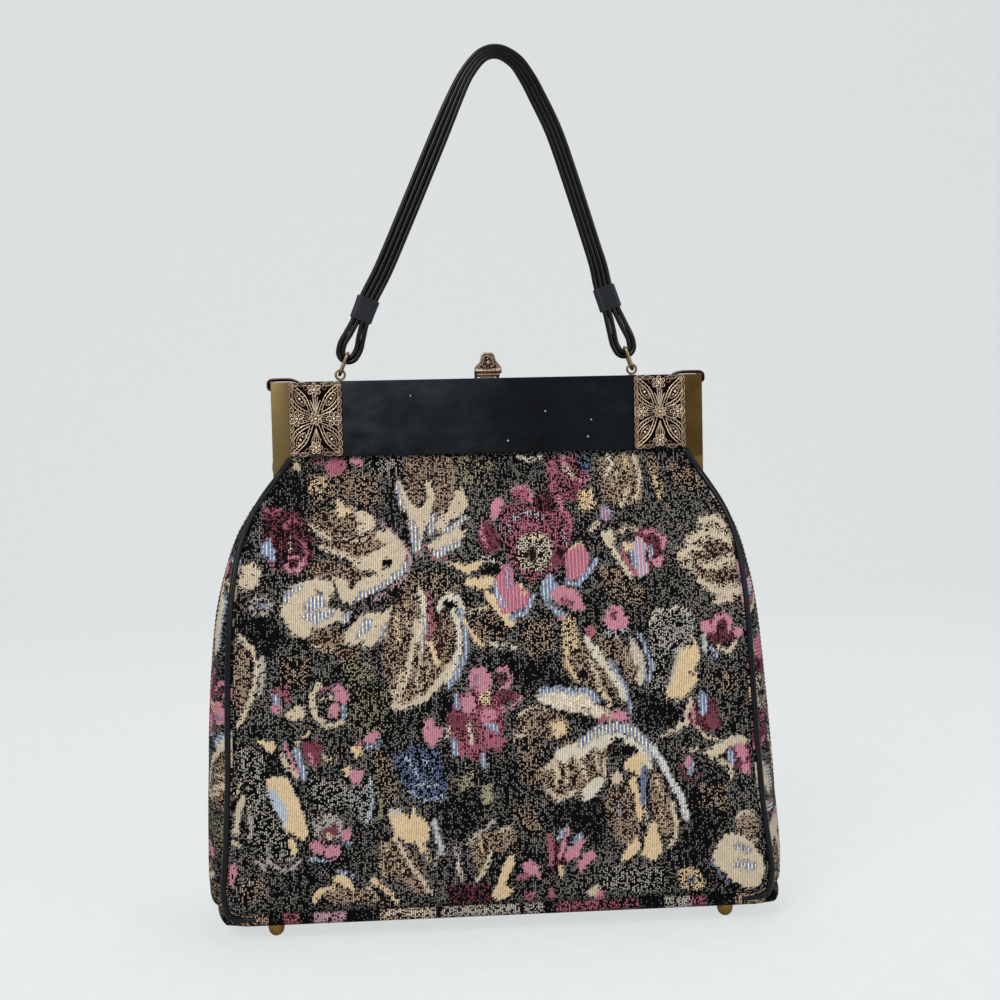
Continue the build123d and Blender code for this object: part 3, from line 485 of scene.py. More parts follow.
    ("beige", "umber", 0.84, 5, [(240, 638), (253, 650), (257, 668), (254, 690), (246, 710), (238, 726)]),
    ("brown", "umber", 0.5, 0, [(232, 640), (248, 650), (251, 690), (240, 714), (232, 706)]),
    ("stone", "umber", 0.85, 5, [(262, 658), (263, 676), (260, 694)]),
    ("rose", "plumShade", 0.72, 4, [(272, 692), (278, 690), (281, 697)]),
    ("rose", "plumShade", 0.72, 5, [(286, 688), (288, 700)]),
    ("pink", "plumShade", 0.9, 0, [(271, 704), (279, 702), (283, 708), (277, 715), (271, 711)]),
    ("slate", "mist", 0.5, 5, [(275, 696), (277, 704)]),
    ("beige", "umber", 0.84, 0, [(291, 708), (299, 705), (306, 710), (303, 720), (296, 720), (284, 717)]),
    ("beige", "umber", 0.88, 6, [(319, 684), (312, 694), (312, 704), (316, 716), (324, 724), (334, 726), (342, 721)]),
    ("rose", "plumShade", 0.7, 4, [(322, 690), (330, 688)]),
    ("pink", "plumShade", 0.93, 0, [(331, 687), (340, 684), (346, 690), (350, 698), (346, 705), (340, 704),
        (336, 696)]),
    ("beige", "umber", 0.8, 3, [(320, 700), (328, 697), (334, 698)]),
    ("pink", "plumShade", 0.93, 0, [(330, 706), (337, 700), (340, 710), (336, 718), (328, 716)]),
    ("slate", "mist", 0.5, 4, [(344, 705), (344, 717)]),

    # the spray in the middle
    ("rose", "plumShade", 0.55, 0, [(446, 694), (476, 690), (498, 694), (506, 730), (480, 762), (452, 750),
        (446, 720)]),
    ("ground", "black", 0.2, 0, [(440, 690), (456, 694), (452, 712), (438, 716)]),
    ("pink", "plumShade", 0.94, 0, [(468, 675), (474, 667), (484, 667), (490, 674), (492, 683), (488, 691),
        (478, 691), (470, 687)]),
    ("slate", "pink", 0.5, 4, [(475, 676), (476, 686)]),
    ("pink", "plumShade", 0.84, 4, [(497, 671), (506, 667), (511, 676), (508, 685), (500, 689)]),
    ("plum", "plumShade", 0.6, 0, [(499, 674), (506, 675), (504, 683), (498, 681)]),
    ("plum", "plumShade", 0.66, 0, [(497, 693), (512, 690), (520, 696), (510, 702), (498, 706)]),
    ("pink", "plumShade", 0.88, 4, [(521, 698), (512, 708), (500, 710)]),
    ("pink", "plumShade", 0.92, 0, [(461, 698), (470, 694), (477, 700), (475, 710), (468, 715), (461, 710)]),
    ("slate", "mist", 0.5, 4, [(456, 696), (457, 707)]),
    ("gold", "umber", 0.74, 0, [(478, 692), (490, 690), (490, 704), (480, 705)]),
    ("pink", "plumShade", 0.9, 0, [(478, 713), (490, 708), (500, 716), (492, 723), (482, 723)]),
    ("plum", "plumShade", 0.8, 0, [(448, 714), (466, 714), (468, 729), (452, 731)]),
    ("pink", "plumShade", 0.93, 0, [(424, 720), (432, 717), (435, 727), (447, 727), (440, 738), (434, 747),
        (426, 745), (423, 734)]),
    ("rose", "plumShade", 0.84, 0, [(484, 734), (498, 733), (509, 741), (500, 751), (486, 749)]),
    ("slate", "mist", 0.5, 5, [(486, 725), (496, 729)]),
    ("slate", "mist", 0.5, 5, [(482, 754), (485, 767)]),
    ("slate", "mist", 0.5, 5, [(453, 740), (456, 752)]),
    ("rose", "plumShade", 0.8, 0, [(456, 744), (470, 740), (477, 752), (462, 759)]),
    ("cream", "umber", 0.85, 4, [(469, 726), (472, 742)]),
    ("beige", "umber", 0.74, 4, [(449, 728), (446, 737)]),

    # the great flower
    ("rose", "black", 0.52, 0, [(500, 508), (520, 504), (548, 508), (560, 504), (572, 530), (566, 562), (550, 580),
        (530, 582), (512, 566), (502, 540)]),
    ("plum", "black", 0.4, 0, [(532, 500), (546, 490), (556, 500), (552, 512), (536, 512)]),
    ("pink", "plumShade", 0.94, 0, [(490, 516), (490, 505), (496, 498), (503, 500), (501, 512), (494, 521)]),
    ("rose", "plumShade", 0.66, 0, [(510, 491), (518, 485), (528, 487), (533, 496), (528, 503), (516, 501)]),
    ("pink", "plumShade", 0.86, 3, [(513, 489), (524, 486), (531, 491), (531, 500)]),
    ("plum", "plumShade", 0.7, 0, [(480, 522), (490, 520), (501, 540), (498, 553), (484, 552), (478, 540)]),
    ("pink", "plumShade", 0.8, 3, [(482, 522), (481, 534), (488, 546)]),
    ("pink", "plumShade", 0.84, 4, [(556, 498), (562, 502), (562, 508)]),
    ("rose", "plumShade", 0.76, 5, [(566, 512), (571, 522), (570, 531)]),
    ("mist", "plumShade", 0.5, 4, [(515, 517), (528, 512), (541, 517)]),
    ("mist", "plumShade", 0.5, 3, [(562, 528), (566, 545)]),
    ("mist", "plumShade", 0.5, 3, [(508, 520), (510, 531)]),
    ("rose", "plumShade", 0.8, 3, [(520, 528), (532, 524), (540, 530)]),
    ("cream", "umber", 0.46, 0, [(520, 536), (540, 532), (553, 542), (553, 562), (540, 572), (522, 570), (514, 556)]),
    ("gold", "umber", 0.7, 3, [(524, 540), (536, 536), (546, 540)]),
    ("umber", "black", 0.9, 0, [(526, 548), (534, 545), (538, 556), (530, 563)]),
    ("plum", "umber", 0.8, 0, [(552, 552), (564, 548), (566, 562), (556, 568), (548, 562)]),
    ("umber", "umber", 0.8, 0, [(556, 546), (566, 549), (563, 556), (556, 554)]),
    ("pink", "rose", 0.95, 0, [(566, 553), (573, 544), (584, 545), (590, 556), (588, 568), (578, 579), (568, 577),
        (565, 564)]),
    ("gold", "black", 0.9, 3, [(571, 546), (582, 545)]),
    ("slate", "mist", 0.5, 4, [(596, 560), (588, 573), (578, 584), (567, 582)]),
    ("pink", "rose", 0.95, 0, [(494, 582), (500, 569), (508, 564), (514, 572), (511, 582), (522, 584), (530, 594),
        (526, 605), (514, 612), (502, 613), (497, 600)]),
    ("slate", "pink", 0.5, 6, [(508, 571), (508, 586)]),
    ("slate", "mist", 0.5, 4, [(495, 584), (498, 597), (504, 605)]),
    ("slate", "mist", 0.5, 4, [(533, 596), (526, 612), (511, 617)]),
    ("gold", "black", 0.85, 4, [(520, 584), (524, 592)]),
    ("slate", "mist", 0.5, 0, [(539, 587), (550, 573), (557, 586), (552, 598), (545, 602)]),
    ("pink", "plumShade", 0.92, 0, [(550, 592), (560, 586), (572, 588), (582, 598), (585, 609), (576, 611),
        (562, 604), (555, 602)]),
    ("plum", "umber", 0.8, 4, [(562, 600), (573, 604)]),
    ("slate", "mist", 0.5, 4, [(547, 604), (558, 612), (569, 618)]),
    ("pink", "plumShade", 0.76, 3, [(559, 616), (570, 621)]),
    ("cream", "black", 0.76, 4, [(483, 556), (492, 560), (501, 564)]),
    ("black", "black", 0.2, 0, [(484, 567), (500, 563), (502, 571), (486, 575)]),
    # flowers and leaf under the frame
    ("rose", "black", 0.5, 0, [(546, 458), (574, 456), (590, 476), (580, 500), (564, 502), (548, 490)]),
    ("rose", "plumShade", 0.84, 5, [(549, 468), (556, 472), (552, 462)]),
    ("rose", "plumShade", 0.74, 0, [(548, 483), (556, 480), (558, 490), (550, 493)]),
    ("pink", "plumShade", 0.76, 4, [(562, 456), (566, 465)]),
    ("cream", "umber", 0.56, 5, [(564, 466), (572, 476)]),
    ("pink", "black", 0.76, 4, [(577, 479), (590, 478)]),
    ("plum", "black", 0.7, 0, [(571, 486), (578, 486), (578, 500), (572, 499)]),
    ("slate", "black", 0.4, 0, [(576, 456), (593, 456), (588, 471), (578, 469)]),
    ("cream", "black", 0.8, 3.5, [(516, 455), (528, 460), (540, 457)]),
    ("brown", "umber", 0.55, 0, [(596, 458), (640, 455), (642, 500), (628, 506), (604, 500), (598, 480)]),
    ("cream", "umber", 0.84, 4, [(608, 456), (612, 464), (605, 475)]),
    ("beige", "umber", 0.84, 4, [(634, 457), (639, 474), (639, 490), (634, 500)]),
    ("beige", "umber", 0.8, 4, [(628, 489), (621, 505)]),
    ("beige", "umber", 0.66, 3, [(618, 468), (614, 486)]),
    ("gold", "umber", 0.62, 4, [(624, 456), (628, 472)]),
    ("gold", "umber", 0.66, 0, [(578, 492), (592, 488), (598, 506), (586, 512), (578, 507)]),
    ("gold", "umber", 0.66, 3, [(650, 468), (656, 484), (660, 499)]),
    ("pink", "slate", 0.75, 0, [(599, 508), (606, 505), (613, 514), (606, 522), (601, 518)]),
    ("mist", "plumShade", 0.6, 2.6, [(606, 508), (613, 513)]),
    ("beige", "umber", 0.75, 4, [(589, 531), (599, 523)]),
    # bud on the right
    ("beige", "umber", 0.93, 0, [(600, 532), (612, 529), (616, 538), (612, 548), (604, 542)]),
    ("beige", "umber", 0.75, 4, [(618, 532), (628, 527), (640, 530)]),
    ("plum", "umber", 0.6, 0, [(634, 530), (650, 526), (664, 536), (664, 564), (650, 572), (638, 560)]),
    ("beige", "umber", 0.95, 5, [(613, 549), (621, 562), (630, 575)]),
    ("gold", "umber", 0.92, 0, [(621, 542), (636, 544), (632, 553), (625, 550)]),
    ("rose", "plumShade", 0.86, 4, [(621, 548), (629, 564), (637, 575)]),
    ("pink", "mist", 0.95, 0, [(632, 539), (640, 537), (648, 546), (644, 556), (650, 568), (646, 575), (638, 577),
        (635, 560)]),
    ("slate", "mist", 0.5, 4, [(633, 552), (635, 566)]),
    ("slate", "mist", 0.5, 4, [(650, 547), (652, 561)]),
    ("pink", "plumShade", 0.86, 3, [(641, 533), (652, 531)]),
    ("pink", "plumShade", 0.92, 4, [(657, 534), (665, 537), (663, 547)]),
    ("pink", "plumShade", 0.92, 0, [(650, 560), (664, 555), (662, 566), (654, 569)]),
    # leaf on the right
    ("beige", "umber", 0.6, 0, [(697, 518), (706, 514), (718, 514), (727, 524), (733, 536), (739, 548), (742, 562),
        (742, 580), (741, 594), (732, 603), (719, 605), (713, 600), (718, 594), (708, 592), (698, 584), (693, 578),
        (700, 578), (689, 572), (680, 566), (675, 556), (678, 549), (686, 546), (683, 540), (688, 534), (700, 529),
        (704, 524)]),
    ("brown", "umber", 0.4, 0, [(706, 540), (722, 540), (732, 550), (716, 558), (694, 561), (692, 552)]),
    ("brown", "umber", 0.4, 0, [(690, 563), (716, 571), (738, 566), (738, 580), (712, 584), (698, 576)]),
    ("beige", "umber", 0.95, 6, [(700, 521), (714, 517), (724, 525)]),
    ("beige", "umber", 0.93, 6, [(689, 541), (704, 532), (716, 534), (729, 541)]),
    ("beige", "umber", 0.93, 5, [(680, 553), (692, 548), (704, 551)]),
    ("beige", "umber", 0.93, 5, [(704, 567), (718, 565), (730, 559), (739, 557)]),
    ("beige", "umber", 0.93, 6, [(699, 580), (712, 588), (726, 592), (739, 590)]),
    ("beige", "umber", 0.93, 5, [(716, 602), (731, 599)]),

    # middle right: small flowers, narrow leaves
    ("pink", "plumShade", 0.92, 0, [(606, 612), (612, 605), (622, 607), (624, 615), (630, 618), (626, 627),
        (616, 631), (606, 627), (603, 619)]),
    ("plum", "umber", 0.8, 0, [(611, 610), (618, 610), (616, 619), (609, 618)]),
    ("mist", "black", 0.6, 3, [(607, 630), (618, 635), (627, 629)]),
    ("rose", "umber", 0.9, 0, [(584, 628), (590, 623), (596, 631), (592, 639), (586, 637)]),
    ("gold", "umber", 0.58, 0, [(562, 618), (574, 615), (580, 640), (580, 656), (566, 664), (562, 640)]),
    ("brown", "umber", 0.5, 0, [(560, 660), (588, 642), (600, 656), (618, 672), (628, 692), (624, 704), (606, 691),
        (586, 684), (570, 679)]),
    ("cream", "umber", 0.88, 8, [(587, 640), (598, 656), (608, 668), (618, 681), (624, 696)]),
    ("slate", "mist", 0.5, 3, [(610, 662), (624, 684), (629, 700), (631, 713)]),
    ("gold", "umber", 0.8, 4, [(566, 650), (568, 666), (578, 681)]),
    ("beige", "umber", 0.76, 4, [(588, 658), (597, 674), (600, 691)]),
    ("gold", "umber", 0.84, 4, [(599, 690), (610, 700), (606, 713)]),
    ("black", "black", 0.2, 0, [(578, 670), (588, 672), (586, 680), (578, 677)]),
    ("brown", "umber", 0.6, 0, [(620, 640), (632, 650), (637, 664), (636, 685), (628, 681), (622, 660)]),
    ("beige", "stone", 0.6, 0, [(631, 638), (636, 644), (642, 652), (646, 664), (646, 676), (640, 687), (636, 680),
        (638, 668), (632, 658), (630, 648)]),
    ("mist", "slate", 0.5, 4, [(640, 636), (646, 650), (652, 668), (648, 681)]),
    ("stone", "black", 0.48, 0, [(650, 618), (656, 606), (664, 610), (676, 606), (690, 610), (694, 628), (690, 644),
        (676, 656), (660, 650), (650, 636)]),
    ("cream", "umber", 0.76, 3, [(650, 623), (657, 610), (668, 612), (676, 606), (686, 610), (692, 621)]),
    ("gold", "umber", 0.74, 3, [(690, 635), (698, 647)]),
    ("gold", "umber", 0.97, 0, [(697, 644), (700, 656), (694, 668), (698, 676), (694, 686), (686, 696), (676, 700),
        (666, 697), (668, 684), (674, 670), (676, 656), (684, 648)]),
    ("stone", "umber", 0.9, 4, [(680, 648), (674, 668), (669, 684)]),
    ("umber", "umber", 0.9, 2, [(688, 672), (693, 674)]),
    ("plum", "umber", 0.5, 0, [(704, 618), (732, 616), (734, 640), (716, 646), (704, 636)]),
    ("pink", "plumShade", 0.9, 0, [(701, 622), (709, 618), (712, 630), (706, 635), (701, 630)]),
    ("pink", "plumShade", 0.9, 5, [(714, 630), (715, 619), (723, 614), (730, 620), (729, 630)]),
    ("pink", "plumShade", 0.95, 0, [(732, 630), (738, 624), (744, 632), (740, 638), (734, 637)]),
    ("mist", "stone", 0.6, 4, [(703, 636), (706, 651)]),
    ("mist", "slate", 0.5, 4, [(711, 647), (717, 655)]),
    ("beige", "umber", 0.9, 4, [(719, 647), (728, 653), (735, 643)]),
    # the lower right pair's light upper leaf and pink joint
    ("cream", "beige", 0.6, 0, [(535, 698), (544, 692), (556, 692), (572, 692), (586, 694), (596, 704), (608, 712),
        (618, 718), (606, 721), (594, 716), (578, 711), (560, 711), (547, 705)]),
    ("slate", "mist", 0.5, 4, [(541, 691), (556, 689), (572, 691), (588, 692), (599, 701)]),
    ("umber", "umber", 0.8, 2, [(580, 706), (590, 712)]),
    ("rose", "black", 0.95, 0, [(596, 717), (604, 714), (610, 718), (600, 724)]),
    ("pink", "black", 0.95, 0, [(610, 714), (618, 708), (626, 712), (632, 719), (626, 722), (612, 721)]),
    ("brown", "umber", 0.52, 0, [(518, 716), (530, 706), (546, 708), (566, 716), (572, 730), (562, 741), (540, 737),
        (520, 740), (511, 735)]),
    ("beige", "umber", 0.8, 3, [(521, 715), (532, 707), (545, 708)]),
    ("gold", "umber", 0.95, 0, [(550, 724), (558, 720), (566, 726), (566, 734), (556, 737)]),
    ("beige", "umber", 0.8, 4, [(514, 739), (527, 732)]),
    ("plum", "umber", 0.5, 0, [(688, 700), (716, 698), (722, 726), (704, 734), (688, 722)]),
    ("beige", "umber", 0.92, 4, [(691, 701), (686, 714), (688, 725)]),
    ("pink", "plumShade", 0.92, 4, [(693, 706), (694, 723)]),
    ("slate", "mist", 0.5, 7, [(702, 695), (704, 713)]),
    ("plum", "plumShade", 0.9, 0, [(707, 710), (716, 712), (720, 724), (712, 733), (706, 722)]),
    ("beige", "umber", 0.84, 4, [(698, 728), (706, 737), (717, 739)]),
    ("beige", "umber", 0.86, 4, [(663, 735), (676, 730), (685, 721)]),

    # the lower right pair
    ("brown", "umber", 0.5, 0, [(552, 760), (556, 748), (568, 742), (582, 738), (600, 734), (612, 740), (606, 752),
        (604, 764), (606, 776), (602, 784), (594, 794), (586, 800), (580, 798), (576, 792), (566, 799), (552, 801),
        (543, 792), (539, 778), (543, 768)]),
    ("cream", "umber", 0.95, 0, [(556, 750), (570, 744), (590, 738), (608, 736), (614, 744), (604, 750), (592, 749),
        (584, 758), (573, 755), (566, 763), (555, 760)]),
    ("beige", "umber", 0.9, 5, [(544, 770), (554, 761), (558, 777)]),
    ("beige", "umber", 0.88, 4, [(556, 762), (557, 787)]),
    ("beige", "umber", 0.8, 4, [(566, 763), (568, 782)]),
    ("beige", "umber", 0.86, 4, [(576, 757), (584, 768), (586, 779)]),
    ("beige", "umber", 0.8, 3, [(594, 751), (598, 768)]),
    ("cream", "umber", 0.96, 0, [(581, 790), (590, 782), (600, 775), (605, 780), (600, 790), (592, 799), (584, 801)]),
    ("beige", "umber", 0.86, 4, [(548, 789), (560, 800), (575, 791)]),
    ("beige", "umber", 0.9, 3.5, [(604, 760), (605, 778)]),
    ("slate", "cream", 0.5, 9, [(582, 742), (598, 731), (616, 727), (632, 730), (643, 742), (650, 757)]),
    ("cream", "umber", 0.95, 5, [(590, 744), (604, 736), (620, 736), (632, 742)]),
    ("umber", "umber", 0.85, 0, [(606, 745), (614, 742), (612, 753), (606, 753)]),
    ("black", "black", 0.2, 0, [(621, 752), (626, 744), (631, 752), (626, 759)]),
    ("brown", "umber", 0.5, 0, [(609, 788), (634, 783), (640, 814), (640, 840), (626, 847), (612, 830), (605, 808)]),
    ("brown", "umber", 0.55, 0, [(650, 764), (662, 776), (671, 800), (677, 826), (668, 843), (656, 826), (650, 800)]),
    ("gold", "umber", 0.96, 0, [(623, 767), (632, 755), (641, 751), (646, 762), (641, 777), (634, 774)]),
    ("cream", "umber", 0.95, 6, [(637, 744), (645, 754), (650, 766)]),
    ("beige", "umber", 0.95, 0, [(611, 776), (618, 771), (625, 778), (620, 785), (612, 783)]),
    ("gold", "umber", 0.92, 7, [(633, 780), (638, 798), (640, 816)]),
    ("slate", "umber", 0.9, 6, [(643, 768), (644, 784), (643, 803)]),
    ("mist", "cream", 0.5, 6, [(652, 747), (662, 762), (671, 780), (681, 797), (686, 816)]),
    ("beige", "umber", 0.9, 4, [(672, 804), (677, 824), (675, 840), (668, 847)]),
    ("gold", "umber", 0.8, 3, [(656, 776), (661, 794)]),
    ("gold", "umber", 0.74, 3, [(660, 808), (664, 826)]),
    ("gold", "umber", 0.97, 0, [(650, 822), (656, 821), (659, 836), (663, 847), (658, 858), (650, 861), (642, 853),
        (645, 838)]),
    ("gold", "umber", 0.96, 0, [(621, 857), (630, 844), (638, 837), (642, 846), (634, 856), (626, 862)]),
    ("beige", "umber", 0.8, 3, [(645, 804), (648, 824)]),
    ("mist", "umber", 0.4, 3, [(618, 800), (622, 820)]),
    ("plum", "umber", 0.6, 4, [(678, 762), (684, 776), (696, 782)]),
    ("pink", "plumShade", 0.93, 0, [(684, 762), (690, 755), (693, 766), (688, 773)]),
    ("slate", "mist", 0.5, 4, [(692, 763), (690, 773)]),
    ("plum", "umber", 0.7, 4, [(696, 774), (704, 775)]),
    ("beige", "umber", 0.76, 2.5, [(683, 750), (699, 750)]),
    ("beige", "umber", 0.93, 0, [(703, 752), (712, 747), (722, 741), (732, 735), (744, 735), (749, 742), (738, 744),
        (728, 748), (718, 757), (710, 758)]),
    ("plum", "umber", 0.7, 0, [(728, 750), (746, 742), (752, 756), (750, 774), (738, 770), (728, 762)]),
    ("pink", "plumShade", 0.95, 0, [(734, 746), (742, 741), (748, 752), (746, 763), (738, 757)]),
    ("pink", "plumShade", 0.9, 0, [(741, 764), (750, 761), (750, 773), (743, 773)]),
    ("slate", "mist", 0.5, 5, [(730, 752), (732, 762)]),
    ("beige", "umber", 0.85, 4, [(719, 761), (730, 766), (732, 777)]),
    ("brown", "umber", 0.62, 0, [(736, 822), (742, 812), (754, 812), (760, 830), (758, 846), (746, 838), (738, 830)]),
    ("beige", "umber", 0.9, 3, [(736, 820), (742, 812), (754, 812)]),
    ("beige", "umber", 0.96, 0, [(711, 857), (719, 842), (731, 831), (742, 835), (752, 843), (762, 856), (765, 872),
        (760, 885), (748, 889), (736, 883), (724, 873), (716, 866)]),
    ("slate", "cream", 0.5, 7, [(737, 846), (748, 850)]),
    ("slate", "cream", 0.5, 8, [(737, 864), (753, 866)]),
    ("slate", "umber", 0.6, 3, [(712, 862), (720, 874), (730, 884)]),
    ("gold", "umber", 0.6, 0, [(678, 872), (688, 865), (700, 870), (706, 884), (698, 891), (682, 889)]),
    ("slate", "umber", 0.5, 0, [(688, 876), (696, 876), (694, 884), (688, 884)]),

    # lower middle
    ("plum", "black", 0.5, 0, [(546, 844), (560, 842), (570, 862), (552, 872)]),
    ("pink", "plumShade", 0.92, 0, [(521, 866), (530, 859), (538, 866), (542, 881), (532, 875), (524, 872)]),
    ("rose", "plumShade", 0.84, 4, [(519, 878), (529, 876)]),
    ("rose", "plumShade", 0.86, 5, [(549, 836), (551, 850), (552, 864)]),
    ("pink", "plumShade", 0.92, 4.5, [(569, 829), (563, 846), (560, 858)]),
    ("pink", "plumShade", 0.95, 0, [(562, 856), (570, 846), (580, 840), (587, 837), (582, 848), (576, 858),
        (568, 863)]),
    ("pink", "plumShade", 0.95, 0, [(576, 866), (584, 854), (592, 849), (597, 856), (588, 866), (580, 872)]),
    ("slate", "mist", 0.5, 3, [(559, 838), (566, 828)]),
    ("slate", "mist", 0.5, 3, [(574, 842), (581, 835)]),
    ("gold", "umber", 0.8, 4, [(560, 867), (562, 877)]),
    ("rose", "umber", 0.86, 0, [(548, 886), (554, 888), (556, 899), (548, 899)]),
    ("rose", "umber", 0.74, 0, [(525, 892), (537, 892), (535, 901), (525, 901)]),
    ("beige", "umber", 0.9, 0, [(588, 890), (596, 885), (602, 890), (596, 897), (588, 896)]),
    ("pink", "umber", 0.86, 0, [(598, 890), (605, 892), (602, 901), (596, 899)]),
    ("brown", "umber", 0.56, 0, [(490, 836), (500, 827), (514, 826), (516, 842), (504, 851), (494, 852)]),
    ("beige", "umber", 0.7, 3, [(500, 830), (512, 828)]),
    ("gold", "umber", 0.97, 0, [(508, 856), (514, 854), (514, 866), (508, 878), (504, 884), (515, 890), (508, 898),
        (498, 901), (490, 895), (498, 884), (502, 868)]),
    ("slate", "black", 0.45, 0, [(392, 756), (410, 744), (440, 750), (448, 776), (446, 798), (430, 802), (412, 794),
        (400, 780)]),
    ("mist", "black", 0.8, 3, [(405, 756), (412, 766), (418, 778)]),
    ("mist", "black", 0.8, 3, [(407, 790), (416, 796), (427, 801)]),
    ("mist", "black", 0.84, 4, [(434, 798), (445, 798)]),
    ("mist", "black", 0.6, 3, [(414, 786), (437, 784)]),
    ("mist", "black", 0.5, 3, [(424, 758), (432, 772)]),
    ("olive", "black", 0.66, 0, [(456, 778), (470, 770), (474, 787), (461, 793)]),
    ("olive", "black", 0.84, 0, [(481, 786), (492, 783), (494, 801), (483, 805)]),
    ("gold", "black", 0.4, 4, [(466, 765), (475, 777)]),
    ("mist", "black", 0.72, 4, [(370, 779), (372, 800), (367, 820)]),
    ("olive", "black", 0.66, 4, [(377, 788), (382, 804), (380, 817)]),
    ("mist", "black", 0.6, 3, [(350, 790), (354, 804)]),

    # lower left
    ("gold", "umber", 0.97, 0, [(265, 780), (276, 776), (288, 778), (294, 790), (300, 804), (304, 816), (308, 832),
        (306, 840), (298, 838), (292, 834), (286, 832), (280, 816), (274, 806), (268, 796)]),
    ("mist", "umber", 0.92, 0, [(267, 789), (276, 792), (284, 804), (288, 818), (284, 827), (278, 816), (272, 806)]),
    ("gold", "umber", 0.95, 0, [(286, 838), (294, 838), (298, 851), (296, 859), (290, 850)]),
    ("beige", "umber", 0.93, 6, [(236, 832), (238, 814), (243, 799)]),
    ("beige", "umber", 0.7, 4, [(240, 782), (236, 796)]),
    ("stone", "umber", 0.7, 4, [(247, 800), (251, 820), (250, 842)]),
    ("beige", "umber", 0.9, 4, [(233, 842), (240, 847)]),
    ("gold", "umber", 0.93, 0, [(255, 742), (266, 740), (277, 744), (274, 753), (268, 752), (262, 746)]),
    ("beige", "umber", 0.93, 4, [(281, 755), (288, 768), (297, 777)]),
    ("pink", "plumShade", 0.93, 4, [(285, 745), (291, 760), (298, 773)]),
    ("slate", "mist", 0.5, 6, [(295, 751), (301, 764), (304, 777)]),
    ("plum", "plumShade", 0.84, 0, [(301, 744), (314, 739), (323, 748), (320, 763), (312, 769), (305, 758)]),
    ("pink", "plumShade", 0.86, 3, [(308, 752), (314, 766)]),
    ("gold", "umber", 0.88, 3, [(295, 745), (309, 733)]),
    ("pink", "black", 0.95, 0, [(362, 738), (370, 731), (380, 731), (378, 741), (368, 744)]),
    ("mist", "slate", 0.5, 3, [(367, 747), (379, 744)]),
    ("rose", "umber", 0.7, 0, [(358, 742), (364, 740), (364, 748), (358, 750)]),
    ("gold", "umber", 0.9, 0, [(350, 748), (360, 744), (364, 752), (356, 757)]),
    ("gold", "umber", 0.9, 0, [(341, 767), (348, 765), (352, 772), (346, 777)]),
    ("pink", "black", 0.95, 0, [(348, 774), (356, 769), (365, 773), (362, 781), (354, 785)]),
    ("gold", "umber", 0.7, 4, [(324, 758), (334, 762)]),
    ("stone", "umber", 0.66, 0, [(311, 818), (326, 813), (336, 813), (343, 822), (341, 837), (315, 837)]),
    ("plum", "umber", 0.9, 0, [(321, 830), (328, 828), (336, 823), (339, 832), (332, 839), (326, 841)]),
    ("pink", "plumShade", 0.93, 0, [(310, 844), (318, 839), (325, 846), (322, 855), (314, 855)]),
    ("pink", "plumShade", 0.93, 0, [(324, 848), (332, 845), (341, 846), (339, 857), (330, 859), (324, 857)]),
    ("pink", "plumShade", 0.95, 0, [(341, 832), (348, 827), (353, 834), (350, 841), (343, 841)]),
    ("gold", "umber", 0.88, 3, [(327, 836), (332, 838)]),
    ("mist", "slate", 0.5, 3, [(311, 859), (325, 861)]),
    ("mist", "slate", 0.5, 3, [(340, 844), (350, 844)]),
    ("brown", "umber", 0.5, 0, [(382, 840), (404, 842), (418, 860), (428, 884), (430, 897), (414, 891), (396, 881),
        (384, 870), (378, 858)]),
    ("gold", "umber", 0.97, 0, [(387, 810), (394, 807), (404, 812), (410, 818), (414, 807), (418, 816), (426, 820),
        (431, 828), (428, 838), (427, 850), (428, 857), (420, 851), (416, 843), (404, 841), (396, 837), (392, 826)]),
    ("mist", "umber", 0.9, 3, [(389, 810), (401, 813)]),
    ("mist", "stone", 0.6, 5, [(434, 822), (438, 838), (442, 852)]),
    ("gold", "umber", 0.66, 3, [(424, 846), (430, 862)]),
    ("stone", "umber", 0.7, 3, [(438, 852), (434, 868)]),
    ("beige", "umber", 0.92, 4, [(395, 839), (404, 854), (412, 868), (424, 882), (431, 893)]),
    ("gold", "umber", 0.8, 3, [(380, 863), (386, 875)]),
    ("gold", "umber", 0.7, 3, [(384, 843), (388, 853)]),
    ("beige", "umber", 0.7, 3, [(396, 860), (404, 876)]),
    ("brown", "umber", 0.6, 0, [(316, 890), (352, 888), (372, 892), (390, 903), (330, 903)]),
    ("gold", "umber", 0.93, 0, [(329, 878), (342, 874), (352, 880), (355, 891), (346, 888), (338, 883)]),
    ("gold", "umber", 0.9, 6, [(315, 899), (320, 890), (333, 888)]),
    ("mist", "slate", 0.5, 3, [(338, 871), (353, 876)]),
    ("gold", "umber", 0.86, 5, [(373, 880), (386, 890), (397, 901)]),
    ("beige", "umber", 0.7, 3, [(366, 886), (376, 896)]),
    ("stone", "umber", 0.86, 4, [(257, 862), (267, 871)]),
    ("stone", "umber", 0.86, 4, [(267, 861), (280, 870), (292, 870), (299, 862)]),
    ("brown", "umber", 0.5, 0, [(470, 838), (480, 830), (490, 824), (494, 840), (490, 860), (480, 873), (470, 858)]),
    ("stone", "umber", 0.88, 4, [(469, 843), (476, 834), (486, 828), (493, 821)]),
    ("gold", "umber", 0.74, 3, [(480, 836), (482, 852)]),
    ("stone", "umber", 0.6, 5, [(456, 849), (460, 862), (461, 880)]),
    ("beige", "umber", 0.88, 4, [(476, 881), (486, 868), (492, 852)]),
    ("cream", "cream", 0.95, 2.5, [(457, 866), (460, 871)]),
    ("pink", "umber", 0.86, 0, [(229, 866), (236, 864), (238, 874), (232, 886), (228, 884)]),
    ("stone", "umber", 0.6, 4, [(244, 884), (256, 884)]),
]

rng = np.random.default_rng(weave["seed"])
cellNoise = rng.random((weave["cells"], weave["cells"], 3))


